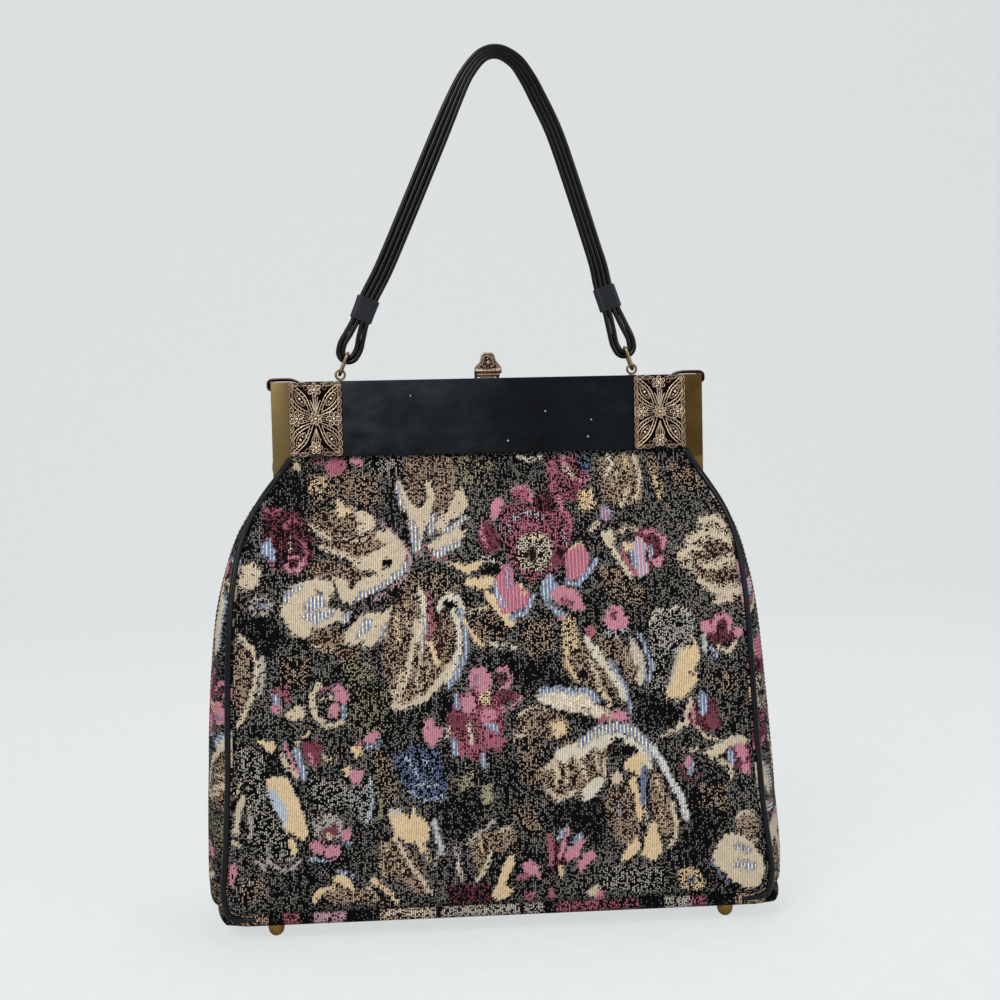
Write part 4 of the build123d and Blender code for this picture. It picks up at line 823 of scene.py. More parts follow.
def insideOutline(px, py, outline):
    hit = np.zeros(px.shape, bool)
    last = outline[-1]
    for point in outline:
        (x0, y0), (x1, y1) = last, point
        if y0 != y1:
            crosses = (y0 > py) != (y1 > py)
            hit ^= crosses & (px < (x1 - x0) * (py - y0) / (y1 - y0) + x0)
        last = point
    return hit


def dye(cloth, chosen, yarnName, shadeName, share):
    cloth["yarn"][chosen, :3] = paint(*yarns[yarnName])[:3]
    cloth["yarn"][chosen, 3] = share
    cloth["shade"][chosen] = paint(*yarns[shadeName])


def dyeMotif(cloth, px, py, motif):
    name, under, share, width, points = motif
    box = np.array(points, float)
    reach = width / 2
    near = np.flatnonzero((px > box[:, 0].min() - reach) & (px < box[:, 0].max() + reach)
                          & (py > box[:, 1].min() - reach) & (py < box[:, 1].max() + reach))
    if width == 0:
        chosen = insideOutline(px[near], py[near], points)
    else:
        chosen = np.zeros(len(near), bool)
        for start, end in zip(box[:-1], box[1:]):
            along = end - start
            t = np.clip(((px[near] - start[0]) * along[0] + (py[near] - start[1]) * along[1]) / (along @ along), 0, 1)
            chosen |= np.hypot(px[near] - start[0] - t * along[0], py[near] - start[1] - t * along[1]) < reach
    dye(cloth, near[chosen], name, under, share)


def paintCloth(picture, uv):  # picture places and cloth places (mm) of every point
    thread = np.floor(uv[:, 0] / weave["thread"]).astype(int) % weave["cells"]
    pick = np.floor(uv[:, 1] / weave["pick"] + 0.5 * (thread % 2)).astype(int) % weave["cells"]
    dots = cellNoise[thread, pick]
    x, y = picture[:, 0], picture[:, 1]
    px, py = (at + (dots[:, k] - 0.5) * weave["jitter"][k] for k, at in enumerate((x, y)))
    cloth = {"yarn": np.tile(np.array(paint(*yarns["ground"])), (len(uv), 1)),
             "shade": np.tile(np.array(paint(*yarns["black"])), (len(uv), 1))}
    drift = np.sin(x * 0.031 + 1.3 * np.sin(y * 0.023)) * np.sin(y * 0.037 + 0.7)
    cloth["yarn"][:, 3] = weave["groundShare"] + weave["groundDrift"] * drift
    for motif in motifs:
        dyeMotif(cloth, px, py, motif)
    return cloth


def repeated(x, shift):  # a width of cloth as a place across the picture, where the pattern starts again
    return hiddenCloth["left"] + (x / hiddenCloth["across"] + shift) % hiddenCloth["wide"]


def dress(mesh, cloth, places):  # gives the mesh its yarns and, as a UV map, its places on the cloth
    for key, values in cloth.items():
        layer = mesh.attributes.new(key, "FLOAT_COLOR", "POINT")
        layer.data.foreach_set("color", values.astype(np.float32).ravel())
    corner = np.empty(len(mesh.loops), np.int32)
    mesh.loops.foreach_get("vertex_index", corner)
    layer = mesh.uv_layers.new(name="clothUv")
    layer.data.foreach_set("uv", (places * mm)[corner].astype(np.float32).ravel())


def tapestryMaterial(name):
    material, tree, shader = newMaterial(name, Roughness=0.92)
    shader.inputs["Specular IOR Level"].default_value = 0.06
    cloth = addNode(tree, "ShaderNodeSeparateXYZ", {0: addNode(tree, "ShaderNodeUVMap", uv_map="clothUv").outputs[0]})
    threads = calc(tree, "DIVIDE", cloth.outputs[0], weave["thread"] * mm)
    threadIndex = calc(tree, "FLOOR", threads)
    odd = calc(tree, "FLOORED_MODULO", threadIndex, 2.0)
    picks = calc(tree, "DIVIDE", cloth.outputs[1], weave["pick"] * mm)
    picks = calc(tree, "ADD", picks, calc(tree, "MULTIPLY", odd, 0.5))
    pickIndex = calc(tree, "FLOOR", picks)
    cell = addNode(tree, "ShaderNodeCombineXYZ", {0: threadIndex, 1: pickIndex, 2: 3.0}).outputs[0]
    dots = addNode(tree, "ShaderNodeTexWhiteNoise", {0: cell}, noise_dimensions="3D")
    channels = addNode(tree, "ShaderNodeSeparateXYZ", {0: dots.outputs["Color"]})
    seventh = calc(tree, "FLOOR", calc(tree, "DIVIDE", picks, 7.0))
    run = addNode(tree, "ShaderNodeCombineXYZ", {0: threadIndex, 1: seventh, 2: 8.0}).outputs[0]
    streak = addNode(tree, "ShaderNodeTexWhiteNoise", {0: run}, noise_dimensions="3D").outputs["Value"]
    yarn = addNode(tree, "ShaderNodeAttribute", attribute_name="yarn", attribute_type="GEOMETRY")
    under = addNode(tree, "ShaderNodeAttribute", attribute_name="shade", attribute_type="GEOMETRY")
    threadRound = calc(tree, "SINE", calc(tree, "MULTIPLY", calc(tree, "FRACT", threads), math.pi))
    pickRound = calc(tree, "SINE", calc(tree, "MULTIPLY", calc(tree, "FRACT", picks), math.pi))

    share = yarn.outputs["Alpha"]
    sparse = calc(tree, "SUBTRACT", 1.0, share)
    streaky = calc(tree, "MULTIPLY", calc(tree, "SUBTRACT", streak, 0.5), calc(tree, "MULTIPLY", sparse, 0.62))
    share = calc(tree, "MULTIPLY_ADD", share, 1.08, streaky)
    isYarn = calc(tree, "LESS_THAN", dots.outputs["Value"], share)
    # where few light threads show they are short dots, and where both yarns are light they alternate by thread
    roundness = calc(tree, "MULTIPLY", threadRound, calc(tree, "MULTIPLY_ADD", pickRound, 0.5, 0.5))
    dot = calc(tree, "GREATER_THAN", roundness, calc(tree, "MULTIPLY", sparse, 0.66))
    isYarn = calc(tree, "MULTIPLY", isYarn, dot)
    underLight = addNode(tree, "ShaderNodeRGBToBW", {0: under.outputs["Color"]}).outputs[0]
    paleUnder = calc(tree, "GREATER_THAN", underLight, 0.09)
    isYarn = calc(tree, "ADD", calc(tree, "MULTIPLY", isYarn, calc(tree, "SUBTRACT", 1.0, paleUnder)),
                  calc(tree, "MULTIPLY", odd, paleUnder))
    color = blendColors(tree, isYarn, under.outputs["Color"], yarn.outputs["Color"])

    uneven = calc(tree, "MULTIPLY_ADD", sparse, 1.15, 0.22)   # pale fields are the most even
    speckled = calc(tree, "ADD", 1.0, calc(tree, "MULTIPLY", calc(tree, "SUBTRACT", channels.outputs[0], 0.42), uneven))
    # painted shade: the colour is darkened in the gaps between threads and between picks; the speckle and the broad
    # drift are random tone
    threadGapShade = calc(tree, "MULTIPLY_ADD", calc(tree, "POWER", threadRound, 0.8), 0.74, 0.4)
    step = calc(tree, "MULTIPLY_ADD", pickRound, 0.34, 0.7)
    gapShadeAndTone = calc(tree, "MULTIPLY", calc(tree, "MULTIPLY", threadGapShade, step), speckled)
    drift = noise(tree, objectPlace(tree), 60, 3)
    gapShadeAndTone = calc(tree, "MULTIPLY", gapShadeAndTone, calc(tree, "MULTIPLY_ADD", drift, 0.3, 0.9))
    lit = addNode(tree, "ShaderNodeVectorMath", {0: color}, operation="SCALE")
    tree.links.new(gapShadeAndTone, lit.inputs["Scale"])
    tree.links.new(lit.outputs[0], shader.inputs["Base Color"])
    relief = calc(tree, "MULTIPLY_ADD", threadRound, 0.6, calc(tree, "MULTIPLY", pickRound, 0.35))
    relief = calc(tree, "MULTIPLY_ADD", channels.outputs[1], 0.35, relief)
    bump(tree, shader, calc(tree, "MULTIPLY_ADD", isYarn, 0.2, relief), 0.00025, 0.8)
    return material


tapestry = tapestryMaterial("tapestry")

# Side profile of the front (depth, height) and the sides' outline, with the lean that the soft bag takes.
frontShape = {
    "profile": [(6.4, 234), (6.6, 231.7), (8, 226.9), (11.8, 221.5), (15.6, 214.9), (26, 194.5), (38.5, 149.5),
                (43.3, 99.5), (44.5, 47.5), (44.5, 14)],
    "outline": [(14, 126.0), (15.5, 129.6), (18, 131.8), (22, 132.6), (60, 130.4), (100, 128.2), (140, 126.0),
                (165, 124.6), (180, 122.9), (190, 120.8), (198, 118.2), (206, 114.6), (213, 110.6), (222, 105.0),
                (231, 98.9), (234, 97.2)],
    "leftLean": [(14, 2.2), (42, 1.2), (80, 0.9), (118, 2.2), (150, 2.7), (180, 2.2), (212, 2.2), (226, 0.6), (234, 0)],
    "rightLean": [(14, -0.5), (30, -0.9), (60, -3.0), (90, -3.6), (120, -3.4), (150, -2.8), (175, -2.4), (206, -0.9),
                  (234, 0)],
    "rows": 276, "columns": 316,  # one more than a multiple of the weave's step
    "wrinkle": 0.35, "pipingPull": 1.1, "seamPull": 1.4, "overLegs": 10.9,
}
profileCurve, _ = curveThrough(frontShape["profile"], 400)
outlineCurve, _ = curveThrough(frontShape["outline"], 400)


def depthAt(z):
    return np.interp(z, profileCurve[::-1, 1], profileCurve[::-1, 0])


def sideAt(hand, z):
    lean = frontShape["rightLean"] if hand > 0 else frontShape["leftLean"]
    return np.interp(z, outlineCurve[:, 0], outlineCurve[:, 1]) + np.interp(z, *np.array(lean).T)


def overLegs(x, z):  # the cloth's upper corners lie over the brass legs
    return smoothStep(88, 96.5, np.abs(x)) * smoothStep(205, 217, z)


def clothSurfaceDepth(x, z):
    plain = depthAt(z)
    covered = np.maximum(plain, frontShape["overLegs"])
    return plain + (covered - plain) * overLegs(x, z)


def clothShell(name, outer, inwards, uv, cloth, thick):  # a fine outer side, a coarse inner side and rims between
    step = weave["step"]
    rows, columns = outer.shape[:2]
    fine = np.arange(rows * columns).reshape(rows, columns)
    inner = outer[::step, ::step] + inwards[::step, ::step] * thick
    coarse = rows * columns + np.arange(inner[..., 0].size).reshape(inner.shape[:2])
    faces = np.stack([fine[:-1, :-1], fine[:-1, 1:], fine[1:, 1:], fine[1:, :-1]], -1).reshape(-1, 4).tolist()
    faces += np.stack([coarse[:-1, :-1], coarse[1:, :-1], coarse[1:, 1:], coarse[:-1, 1:]], -1).reshape(-1, 4).tolist()

    def rim(fineEdge, coarseEdge, flip):
        for k in range(len(coarseEdge) - 1):
            run = list(fineEdge[k * step:(k + 1) * step + 1])
            ring = run[::-1] + [coarseEdge[k], coarseEdge[k + 1]]
            faces.append([int(v) for v in (ring[::-1] if flip else ring)])
    rim(fine[0], coarse[0], False)
    rim(fine[-1], coarse[-1], True)
    rim(fine[:, 0], coarse[:, 0], True)
    rim(fine[:, -1], coarse[:, -1], False)
    mesh = bpy.data.meshes.new(name)
    points = np.vstack([outer.reshape(-1, 3), inner.reshape(-1, 3)]) * mm
    mesh.from_pydata(points.tolist(), [], faces)
    behind = fine[::step, ::step].reshape(-1)
    both = {key: np.vstack([values, values[behind]]) for key, values in cloth.items()}
    dress(mesh, both, np.vstack([uv, uv[behind]]))
    smooth(mesh)
    return addObject(name, mesh, tapestry)


def turnedColumns(outer, inwards, uv, cloth):  # the other way round, so that the fine side faces out
    rows, columns = outer.shape[:2]
    index = np.arange(rows * columns).reshape(rows, columns)[:, ::-1].ravel()
    return outer[:, ::-1], inwards[:, ::-1], uv[index], {key: values[index] for key, values in cloth.items()}


def makePanel(name, side):  # side -1 is the front
    rows, columns = frontShape["rows"], frontShape["columns"]
    curve, run = curveThrough(frontShape["profile"][::-1], rows)
    z = np.repeat(curve[:, 1][:, None], columns, 1)
    across = np.repeat(np.linspace(-1, 1, columns)[None], rows, 0)
    left, right = sideAt(-1, z), sideAt(1, z)
    x = np.where(across < 0, across * left, across * right)
    wave = np.sin(x * 0.061 + 1.1) * np.sin(z * 0.049 + 0.4) + 0.6 * np.sin(x * 0.023 - z * 0.031)
    edge = np.minimum(left + x, right - x)
    depth = clothSurfaceDepth(x, z)
    depth = depth + frontShape["wrinkle"] * wave * smoothStep(14, 40, z) * (1 - smoothStep(196, 216, z))
    depth = depth - frontShape["pipingPull"] * (1 - smoothStep(0.0, 4.5, edge)) * (1 - overLegs(x, z))
    depth = depth - frontShape["seamPull"] * (1 - smoothStep(bag["baseTop"], bag["baseTop"] + 3.5, z))
    outer = np.stack([x, side * depth, z], -1)
    inwards = np.zeros_like(outer)
    inwards[..., 1] = -side
    along = np.repeat(run[:, None], columns, 1)
    uv = np.stack([x.ravel(), along.ravel()], 1)
    if side < 0:
        picture = toPicture(outer).reshape(-1, 2)
        sheet = (outer, inwards, uv, paintCloth(picture, uv))
    else:
        picture = np.stack([repeated(-x.ravel(), hiddenCloth["backShift"]),
                            hiddenCloth["backBottom"] - along.ravel() / hiddenCloth["along"]], 1)
        sheet = turnedColumns(outer, inwards, uv, paintCloth(picture, uv))
    obj = clothShell(name, *sheet, weave["thick"])
    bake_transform(obj)
    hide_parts(name.replace("Cloth", "_panel"))


makePanel("frontCloth", -1)
makePanel("backCloth", 1)
print("tapestry panels made")

# Gussets: the cloth turned a quarter, so that its ribs lie level.
gusset = {
    "heights": [14, 40, 80, 120, 155, 182, 202, 214, 222],
    "bulges": [10.4, 13.4, 14.7, 13.6, 11.4, 7.8, 5.0, 3.0, 0.9],
    "rows": 401, "columns": 61, "ropePitch": 2.3, "ropeHeight": 0.16,
    "depthHalf": 43.7, "topHalf": 9.0, "closesFrom": 212, "thick": 1.4,
}


def makeGusset(name, hand):
    rows, columns = gusset["rows"], gusset["columns"]
    shape, _ = curveThrough(list(zip(gusset["heights"], gusset["bulges"])), 300)
    low, high = gusset["heights"][0], gusset["heights"][-1]
    height = np.linspace(low, high, rows)
    bulge = np.interp(height, shape[:, 0], shape[:, 1])[:, None]
    half, top = np.minimum(depthAt(height) - 0.4, gusset["depthHalf"]), gusset["topHalf"]
    half = top + (half - top) * (1 - smoothStep(gusset["closesFrom"], high, height))
    across = np.linspace(-1, 1, columns)[None]
    roundness = (1 - np.abs(across) ** 2.4) ** 0.62
    x = (sideAt(hand, height) - 0.6)[:, None] + bulge * roundness
    rope = np.sin(height[:, None] / gusset["ropePitch"] * 2 * math.pi + across * 5.0)
    x = x + gusset["ropeHeight"] * rope * (roundness > 0.25)
    y = half[:, None] * across
    z = np.repeat(height[:, None], columns, 1)
    outer = np.stack([hand * x, y, z], -1)
    inwards = np.zeros_like(outer)
    inwards[..., 0] = -hand
    girth = y + np.sign(across) * bulge * 0.35 * (1 - roundness)
    uv = np.stack([z.ravel(), girth.ravel()], 1)
    picture = np.stack([hiddenCloth["gussetStart"][hand] + z.ravel() / hiddenCloth["across"],
                        hiddenCloth["gussetMiddle"][hand] + girth.ravel() / hiddenCloth["along"]], 1)
    sheet = (outer, inwards, uv, paintCloth(picture, uv))
    if hand < 0:
        sheet = turnedColumns(*sheet)
    obj = clothShell(name, *sheet, gusset["thick"])
    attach(obj, "bag")
    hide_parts("left_gusset" if hand < 0 else "right_gusset")


makeGusset("leftGussetCloth", -1)
makeGusset("rightGussetCloth", 1)
print("gussets made")

# Base: a shallow tray of tapestry with a rolled edge.
base = {
    "half": 131.6, "endBulge": 9.6, "corner": 8.0, "outside": 0.2, "around": 720,
    "roll": 0.9, "rollMiddle": 2.4, "lip": (-7.0, 1.6), "under": [(-8.0, 0.1), (-24.0, 0.2)], "underGirth": 60,
    "groundShare": 0.12,
}
basePatches = [  # yarn, shade, share and from where to where along the front edge, in the picture's pixels
    ("brown", "umber", 0.5, 230, 268), ("rose", "umber", 0.5, 284, 300), ("lilac", "umber", 0.66, 314, 346),
    ("beige", "umber", 0.58, 380, 436), ("stone", "umber", 0.6, 442, 520),
    ("stone", "black", 0.5, 524, 545), ("rose", "umber", 0.5, 556, 600), ("rose", "black", 0.4, 600, 640),
    ("stone", "black", 0.6, 664, 690), ("rose", "umber", 0.5, 690, 706), ("brown", "umber", 0.6, 735, 765),
]


def baseOutline():  # straight front and back with bowed ends: points, normals and the way around
    count, half, corner = base["around"], base["half"], base["corner"]
    depth = bag["depthHalf"] + base["outside"]
    end = [(half + base["endBulge"] * (1 - t * t) ** 0.7, depth * t) for t in np.linspace(-1, 1, 90)][3:-3]
    front = [(x, -depth) for x in np.linspace(corner - half, half - corner, 120)]
    back = [(-x, depth) for x, _ in front]
    ring = np.array(front + end + back + [(-x, -y) for x, y in end] + front[:1])
    run = np.concatenate([[0], np.cumsum(np.linalg.norm(np.diff(ring, axis=0), axis=1))])
    at = np.linspace(0, run[-1], count, endpoint=False)
    outline = np.stack([np.interp(at, run, ring[:, k]) for k in (0, 1)], 1)
    tangent = np.roll(outline, -1, 0) - np.roll(outline, 1, 0)
    normal = np.stack([tangent[:, 1], -tangent[:, 0]], 1) / np.linalg.norm(tangent, axis=1)[:, None]
    return outline, normal, at


def makeBase():
    count = base["around"]
    outline, normal, at = baseOutline()
    low, high = bag["baseBottom"], bag["baseTop"] + 0.4
    middle, rise, inside = (low + high) / 2, (high - low) / 2, base["rollMiddle"]
    lipOut, lipDown = base["lip"]
    section = [(lipOut, high - lipDown)]  # outwards and height, from inside the top round to under the base
    for k in range(15):
        a = math.radians(110 - k * 200 / 14)
        section.append(((inside + base["roll"]) * math.cos(a) - inside, middle + rise * math.sin(a)))
    section += [(out, low + up) for out, up in base["under"]]
    rows = [np.column_stack([outline + normal * out, np.full(count, z)]) for out, z in section]
    rows.append(np.column_stack([outline * [0.75, 0.2], np.full(count, low + 0.3)]))
    steps = [math.dist(here, there) for here, there in zip(section, section[1:])]
    girth = np.concatenate([[0], np.cumsum(steps), [base["underGirth"]]])
    points = np.vstack(rows + [np.array([[0, 0, low + 0.3], [0, 0, high - lipDown]])])
    faces = [face[::-1] for face in ringFaces(len(rows), count)]
    bottom, top, lastRow = len(points) - 2, len(points) - 1, (len(rows) - 1) * count
    for c in range(count):
        d = (c + 1) % count
        faces += [[lastRow + d, lastRow + c, bottom], [top, c, d]]
    mesh = bpy.data.meshes.new("baseCloth")
    mesh.from_pydata((points * mm).tolist(), [], faces)
    places = np.vstack([np.stack([at, np.full(count, g)], 1) for g in girth] + [np.zeros((2, 2))])
    picture = np.stack([repeated(points[:, 0], hiddenCloth["baseShift"]),
                        hiddenCloth["baseMiddle"] + points[:, 1] / hiddenCloth["along"]], 1)
    cloth = paintCloth(picture, places)
    seen = toPicture(points)[:, 0]
    onFront = (points[:, 1] < -bag["depthHalf"] + 6) & (points[:, 2] > 8)
    dye(cloth, onFront, "ground", "black", base["groundShare"])
    for yarn, under, share, start, end in basePatches:
        dye(cloth, onFront & (seen > start) & (seen < end), yarn, under, share)
    dress(mesh, cloth, places)
    facesOut(mesh)
    smooth(mesh)
    obj = addObject("baseCloth", mesh, tapestry)
    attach(obj, "bag")
    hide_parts("base_cover")


makeBase()
print("base made")


# Leather
def cellEdges(tree, where, scale):  # the distance from the edges between cells
    values = {"Vector": where, "Scale": scale}
    return addNode(tree, "ShaderNodeTexVoronoi", values, feature="DISTANCE_TO_EDGE").outputs["Distance"]


def leatherMaterial(name, tone, roughness, grain, grainSize, scuffs=0.35, gloss=0.2, lint=()):
    material, tree, shader = newMaterial(name)
    shader.inputs["Specular IOR Level"].default_value = gloss
    where = objectPlace(tree)
    broad = noise(tree, where, 22, 4, 0.6)
    worn = noise(tree, objectPlace(tree, (0.35, 1, 1)), 140, 5, 0.68)
    pebble = ramp(tree, cellEdges(tree, where, 1000 / grainSize), [(0.0, grey(0)), (0.16, grey(1))])
    crease = cellEdges(tree, objectPlace(tree, (0.5, 1, 1.2)), 95)
    crease = calc(tree, "ADD", crease, calc(tree, "MULTIPLY", worn, 0.12))
    crease = ramp(tree, crease, [(0.075, grey(1)), (0.1, grey(0))])
    low, high = paint(*[c * (1 - scuffs) for c in tone]), paint(*[c * (1 + scuffs) for c in tone])
    color = ramp(tree, broad, [(0.36, low), (0.66, high)])
    rubbed = ramp(tree, worn, [(0.56, grey(0)), (0.8, grey(scuffs * 0.8))])
    color = blendColors(tree, rubbed, color, paint(*[c * 2.1 + 10 for c in tone]))
    color = blendColors(tree, calc(tree, "MULTIPLY", crease, scuffs * 0.22), color, paint(*[c * 2.0 for c in tone]))
    if lint:  # the front is paler towards its left end, in patches
        place = addNode(tree, "ShaderNodeSeparateXYZ", {0: where})
        pale = calc(tree, "MULTIPLY_ADD", place.outputs[0], -4.5, 0.12, clamp=True)
        pale = calc(tree, "MULTIPLY", pale, ramp(tree, broad, [(0.4, grey(0.1)), (0.62, grey(1))]))
        pale = calc(tree, "MULTIPLY", pale, ramp(tree, worn, [(0.3, grey(0.4)), (0.6, grey(1))]))
        color = blendColors(tree, pale, color, paint(66, 74, 80))
    for x, z, radius in lint:  # a white speck lies on the front
        at = addNode(tree, "ShaderNodeCombineXYZ", {0: x * mm, 1: -bag["jawFace"] * mm, 2: z * mm}).outputs[0]
        reach = addNode(tree, "ShaderNodeVectorMath", {0: where, 1: at}, operation="DISTANCE").outputs["Value"]
        color = blendColors(tree, calc(tree, "LESS_THAN", reach, radius * mm), color, paint(196, 198, 196))
    tree.links.new(color, shader.inputs["Base Color"])
    tree.links.new(calc(tree, "MULTIPLY_ADD", worn, 0.3, roughness - 0.12), shader.inputs["Roughness"])
    height = calc(tree, "MULTIPLY_ADD", pebble, grain, calc(tree, "MULTIPLY", crease, grain * 2.5))
    bump(tree, shader, calc(tree, "MULTIPLY_ADD", broad, 0.3, height), 0.00035)
    return material


jawLint = [(9.2, 238.5, 0.42), (28.3, 252.9, 0.4), (51.4, 248.2, 0.34), (49.6, 239.7, 0.4), (-39.0, 262.0, 0.3)]
jawLeather = leatherMaterial("jawLeather", (8, 11, 14), 0.4, 0.05, 0.55, 0.6, 0.09, jawLint)
pipingLeather = leatherMaterial("pipingLeather", (12, 13, 19), 0.28, 0.03, 0.5, 0.2, 0.2)
cordLeather = leatherMaterial("cordLeather", (7, 6, 8), 0.26, 0.01, 0.45, 0.15, 0.24)
keeperLeather = leatherMaterial("keeperLeather", (24, 25, 29), 0.4, 0.01, 0.45, 0.2, 0.24)

piping = {
    "radius": 1.45, "sides": 14, "points": 260, "forward": 0.55, "top": 231.8, "bottom": 18.5,
    "corner": [(0.4, 15.6), (-2.6, 13.2), (-7.0, 12.2), (-13.0, 11.9)],  # beyond the side, and height
}


def tube(name, path, radius, sides, material, depth=1.0):  # a closed tube, depth times as deep as wide
    path = np.array(path, float)
    tangent = np.gradient(path, axis=0)
    tangent /= np.linalg.norm(tangent, axis=1)[:, None]
    side = np.cross(tangent, [0.0, 1.0, 0.0])
    side /= np.linalg.norm(side, axis=1)[:, None]
    other = np.cross(side, tangent)
    rings = [path[i] + radius * (math.cos(a) * side[i] + depth * math.sin(a) * other[i])
             for i in range(len(path)) for a in np.linspace(0, 2 * math.pi, sides, endpoint=False)]
    obj = closedMesh(name, rings, closedRings(len(path), sides), material)
    smooth(obj.data, 50)
    return obj


def makePiping(name, side):
    pieces = []
    for hand in (-1, 1):
        high = np.linspace(piping["top"], piping["bottom"], 200)
        x = sideAt(hand, high) + 0.4
        y = clothSurfaceDepth(x, high) + piping["forward"] - 0.9 * (1 - overLegs(x, high))
        path = np.stack([hand * x, side * y, high], 1)
        corner = [(sideAt(hand, 16) + out, z) for out, z in piping["corner"]]
        lower = np.array([(hand * px, side * (depthAt(z) - 0.2), z) for px, z in corner])
        whole, _ = curveThrough(np.vstack([path[::8], lower]), piping["points"])
        pieces.append(tube(name, whole, piping["radius"], piping["sides"], pipingLeather))
    joined = joinMeshes(name, pieces, pipingLeather)
    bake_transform(joined)
    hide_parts("front_piping" if side < 0 else "back_piping")


makePiping("frontPiping", -1)
makePiping("backPiping", 1)
print("piping made")


def roundedCopy(nodeName, name, width, material, body):  # a CAD solid's copy with softened edges
    form = bmesh.new()
    form.from_mesh(nodes[nodeName].data)
    bmesh.ops.remove_doubles(form, verts=form.verts, dist=2e-6)
    bmesh.ops.dissolve_limit(form, angle_limit=math.radians(2), verts=form.verts, edges=form.edges)
    sharp = [e for e in form.edges if len(e.link_faces) == 2 and e.calc_face_angle(0) > math.radians(35)]
    bmesh.ops.bevel(form, geom=sharp, offset=width * mm, segments=3, profile=0.5, affect="EDGES",
                    clamp_overlap=True)
    mesh = bpy.data.meshes.new(name)
    form.to_mesh(mesh)
    form.free()
    smooth(mesh, 40)
    obj = addObject(name, mesh, material)
    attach(obj, body)
    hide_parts(nodeName)


roundedCopy("front_leather", "frontJawLeather", 0.45, jawLeather, "front_jaw")
roundedCopy("back_leather", "backJawLeather", 0.45, jawLeather, "back_jaw")


# Brass
def brassMaterial(name, tone, dark, roughness, patina=0.5, scale=60.0, arc=None):
    material, tree, shader = newMaterial(name, Metallic=1.0)
    where = objectPlace(tree)
    broad = noise(tree, where, scale, 5, 0.62)
    fine = noise(tree, where, 1400, 2)
    stain = ramp(tree, broad, [(0.36, grey(0)), (0.7, grey(patina))])
    color = blendColors(tree, stain, paint(*tone), paint(*dark))
    if arc:  # a tide mark of brown patina that ends in an arc
        place = addNode(tree, "ShaderNodeSeparateXYZ", {0: where})
        aside = calc(tree, "ABSOLUTE", calc(tree, "SUBTRACT", place.outputs[0], arc["x"] * mm))
        curve = calc(tree, "MULTIPLY", calc(tree, "POWER", aside, 2.0), arc["bow"] / mm)
        edge = calc(tree, "SUBTRACT", place.outputs[2], calc(tree, "ADD", curve, arc["z"] * mm))
        above = calc(tree, "MULTIPLY", edge, 1.2 / mm, clamp=True)
        mottled = calc(tree, "MULTIPLY", above, calc(tree, "MULTIPLY_ADD", broad, 0.9, 0.25), clamp=True)
        color = blendColors(tree, mottled, color, paint(*arc["color"]))
    tree.links.new(color, shader.inputs["Base Color"])
    worn = calc(tree, "MULTIPLY_ADD", broad, 0.22, roughness - 0.08)
    tree.links.new(calc(tree, "ADD", worn, calc(tree, "MULTIPLY", fine, 0.08)), shader.inputs["Roughness"])
    bump(tree, shader, fine, 0.00004)
    return material


capLeftBrass = brassMaterial("capBrassLeft", (124, 106, 70), (98, 82, 50), 0.4, 0.5, 45)
capRightBrass = brassMaterial("capBrassRight", (118, 97, 58), (90, 72, 42), 0.4, 0.6, 70,
                              {"x": 103.3, "z": 228.0, "bow": 0.05, "color": (68, 46, 20)})
clipCopper = brassMaterial("clipCopper", (96, 70, 62), (44, 28, 26), 0.36, 0.85, 180)
ringBrass = brassMaterial("ringBrass", (156, 136, 104), (92, 74, 54), 0.36, 0.7, 220)
footBrass = brassMaterial("footBrass", (188, 150, 84), (110, 82, 42), 0.34, 0.6, 160)
claspBrass = brassMaterial("claspBrass", (176, 156, 138), (84, 66, 54), 0.38, 0.7, 260)
darkSteel = brassMaterial("darkSteel", (64, 62, 62), (40, 36, 34), 0.42, 0.7, 120)
claspDark = brassMaterial("claspDark", (66, 46, 38), (30, 19, 15), 0.5, 0.8, 300)

for handName, material in (("left", capLeftBrass), ("right", capRightBrass)):
    for jaw in ("front", "back"):
        capName = f"{jaw}{handName.capitalize()}Cap"
        roundedCopy(f"{jaw}_{handName}_cap", capName, 0.28, material, f"{jaw}_jaw")
print("jaw leather and brass caps made")


def filigreeMaterial():
    material, tree, shader = newMaterial("filigreeBrass", Metallic=1.0)
    where = objectPlace(tree)
    place = addNode(tree, "ShaderNodeSeparateXYZ", {0: where})
    proud = calc(tree, "MULTIPLY_ADD", place.outputs[1], -1 / (1.5 * mm), -(bag["jawFace"] + 0.1) / 1.5, clamp=True)
    spots = noise(tree, where, 420, 4, 0.6)
    # the wires are darker deep down and paler where they stand proud; the paler proud tops are a painted highlight
    tone = ramp(tree, calc(tree, "MULTIPLY_ADD", spots, 0.5, calc(tree, "MULTIPLY", proud, 0.85)),
                [(0.2, paint(34, 20, 16)), (0.48, paint(108, 84, 70)), (0.74, paint(188, 162, 138)),
                 (0.95, paint(232, 212, 184))])
    tree.links.new(tone, shader.inputs["Base Color"])
    tree.links.new(calc(tree, "MULTIPLY_ADD", spots, 0.2, 0.27), shader.inputs["Roughness"])
    bump(tree, shader, spots, 0.00006)
    return material


filigreeBrass = filigreeMaterial()
recessBrown = brassMaterial("recessBrown", (30, 18, 14), (16, 10, 8), 0.7, 0.8, 300)


